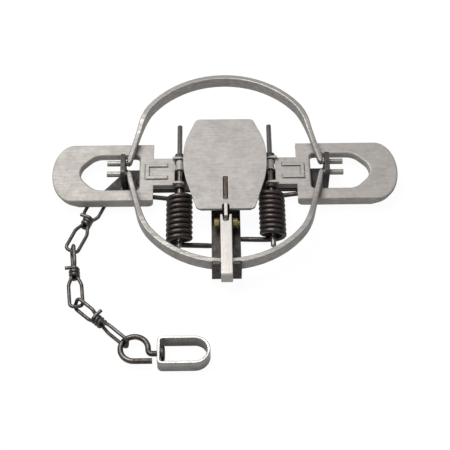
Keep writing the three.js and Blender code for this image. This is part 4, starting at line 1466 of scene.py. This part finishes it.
@dataclass
class Studio:
    """The floor, the soft lights and the camera."""

    target: Point = (-0.76, -50.4, 12.7)
    elevation: float = 55.0
    azimuth: float = -0.8
    distance: float = 970.0
    lens: float = 102.1
    clip_start: float = 0.01
    floor_half: float = 6.0
    floor_z: float = -0.0002
    paper_grey: float = 0.42
    glow: float = 1.14
    glow_seen: float = 0.84
    glow_mirrored: float = 0.3
    sky_dim: float = 0.22
    aim: Point = (0.0, -30.0, 10.0)
    # A broad soft box above lights the flat tops evenly, and a weak one fills the front. Each
    # has a name, a place and a side in millimetres, and a power in watts.
    lamps: tuple[tuple[str, Point, float, float], ...] = (
        ("overhead_box", (-330.0, 180.0, 900.0), 800.0, 10.0),
        ("front_fill", (250.0, -900.0, 500.0), 600.0, 0.12),
    )

    def build(self) -> None:
        """Sets the camera, the floor, the world and the lamps."""
        self.camera()
        self.floor()
        self.world()
        for name, place, size, power in self.lamps:
            self.lamp(name, place, size, power)
        bpy.context.scene.view_settings.view_transform = "Standard"

    def camera(self) -> None:
        """Puts the camera at the photograph's viewing angle."""
        tilt, turn = math.radians(self.elevation), math.radians(self.azimuth)
        level = math.cos(tilt)
        back = Vector((math.sin(turn) * level, -math.cos(turn) * level, math.sin(tilt)))
        place = (Vector(self.target) + back * self.distance) * MM
        facing = back.to_track_quat("Z", "Y").to_euler()
        deselect()
        bpy.ops.object.camera_add(location=place, rotation=facing)
        camera = bpy.context.object
        camera.name = "studio_camera"
        camera.data.lens = self.lens
        camera.data.clip_start = self.clip_start
        bpy.context.scene.camera = camera

    def floor(self) -> None:
        """Lays a white floor that shows the trap's soft shadow."""
        deselect()
        bpy.ops.mesh.primitive_plane_add(size=2 * self.floor_half, location=(0, 0, self.floor_z))
        floor = settle(bpy.context.object, "studio_floor")
        paper = bpy.data.materials.new("white_paper")
        tree = bare_tree(paper)
        rays = add_node(tree, "ShaderNodeLightPath").outputs
        mirrored = add_node(
            tree, "ShaderNodeMath", {"operation": "MULTIPLY", 1: self.glow_mirrored},
            {0: rays["Is Glossy Ray"]},
        ).outputs[0]
        share = add_node(
            tree, "ShaderNodeMath", {"operation": "MULTIPLY_ADD", 1: self.glow_seen},
            {0: rays["Is Camera Ray"], 2: mirrored},
        ).outputs[0]
        grey = (self.paper_grey,) * 3 + (1.0,)
        cloth = add_node(tree, "ShaderNodeBsdfDiffuse", {"Color": grey}).outputs[0]
        glow = add_node(
            tree, "ShaderNodeEmission", {"Color": (1, 1, 1, 1), "Strength": self.glow}
        ).outputs[0]
        mixed = add_node(tree, "ShaderNodeMixShader", {}, {0: share, 1: cloth, 2: glow}).outputs[0]
        add_node(tree, "ShaderNodeOutputMaterial", {}, {"Surface": mixed})
        floor.data.materials.append(paper)

    def world(self) -> None:
        """Surrounds the trap with plain white."""
        world = bpy.data.worlds.new("studio_world")
        bpy.context.scene.world = world
        tree = bare_tree(world)
        seen = add_node(tree, "ShaderNodeLightPath").outputs["Is Camera Ray"]
        strength = remap(tree, seen, (0.0, 1.0), (self.sky_dim, 1.0))
        sky = add_node(
            tree, "ShaderNodeBackground", {"Color": (1, 1, 1, 1)}, {"Strength": strength}
        ).outputs[0]
        add_node(tree, "ShaderNodeOutputWorld", {}, {"Surface": sky})

    def lamp(self, name: str, place: Point, size: float, power: float) -> None:
        """Adds one square soft box aimed at the trap.

        Args:
            name: The lamp's name.
            place: Where it hangs, in millimetres.
            size: The length of its side, in millimetres.
            power: Its power in watts.
        """
        at = Vector(place) * MM
        facing = (Vector(self.aim) * MM - at).to_track_quat("-Z", "Y").to_euler()
        deselect()
        bpy.ops.object.light_add(type="AREA", location=at, rotation=facing)
        lamp = bpy.context.object
        lamp.name = name
        lamp.data.shape = "SQUARE"
        lamp.data.size = size * MM
        lamp.data.energy = power


def main() -> None:
    """Builds the trap's pieces in order."""
    logging.basicConfig(level=logging.INFO, format="%(name)s: %(message)s", stream=sys.stdout)
    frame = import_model()
    deselect()
    shop = Workshop(frame)
    Studio().build()
    for kind in (Ironwork, Levers, CoilSprings, Jaws, PanAndDog, Chain):
        kind(shop).build()
        LOG.info("built %s", kind.__name__)
    deselect()
    LOG.info("%d pieces fitted", shop.made)


if __name__ == "__main__":
    main()
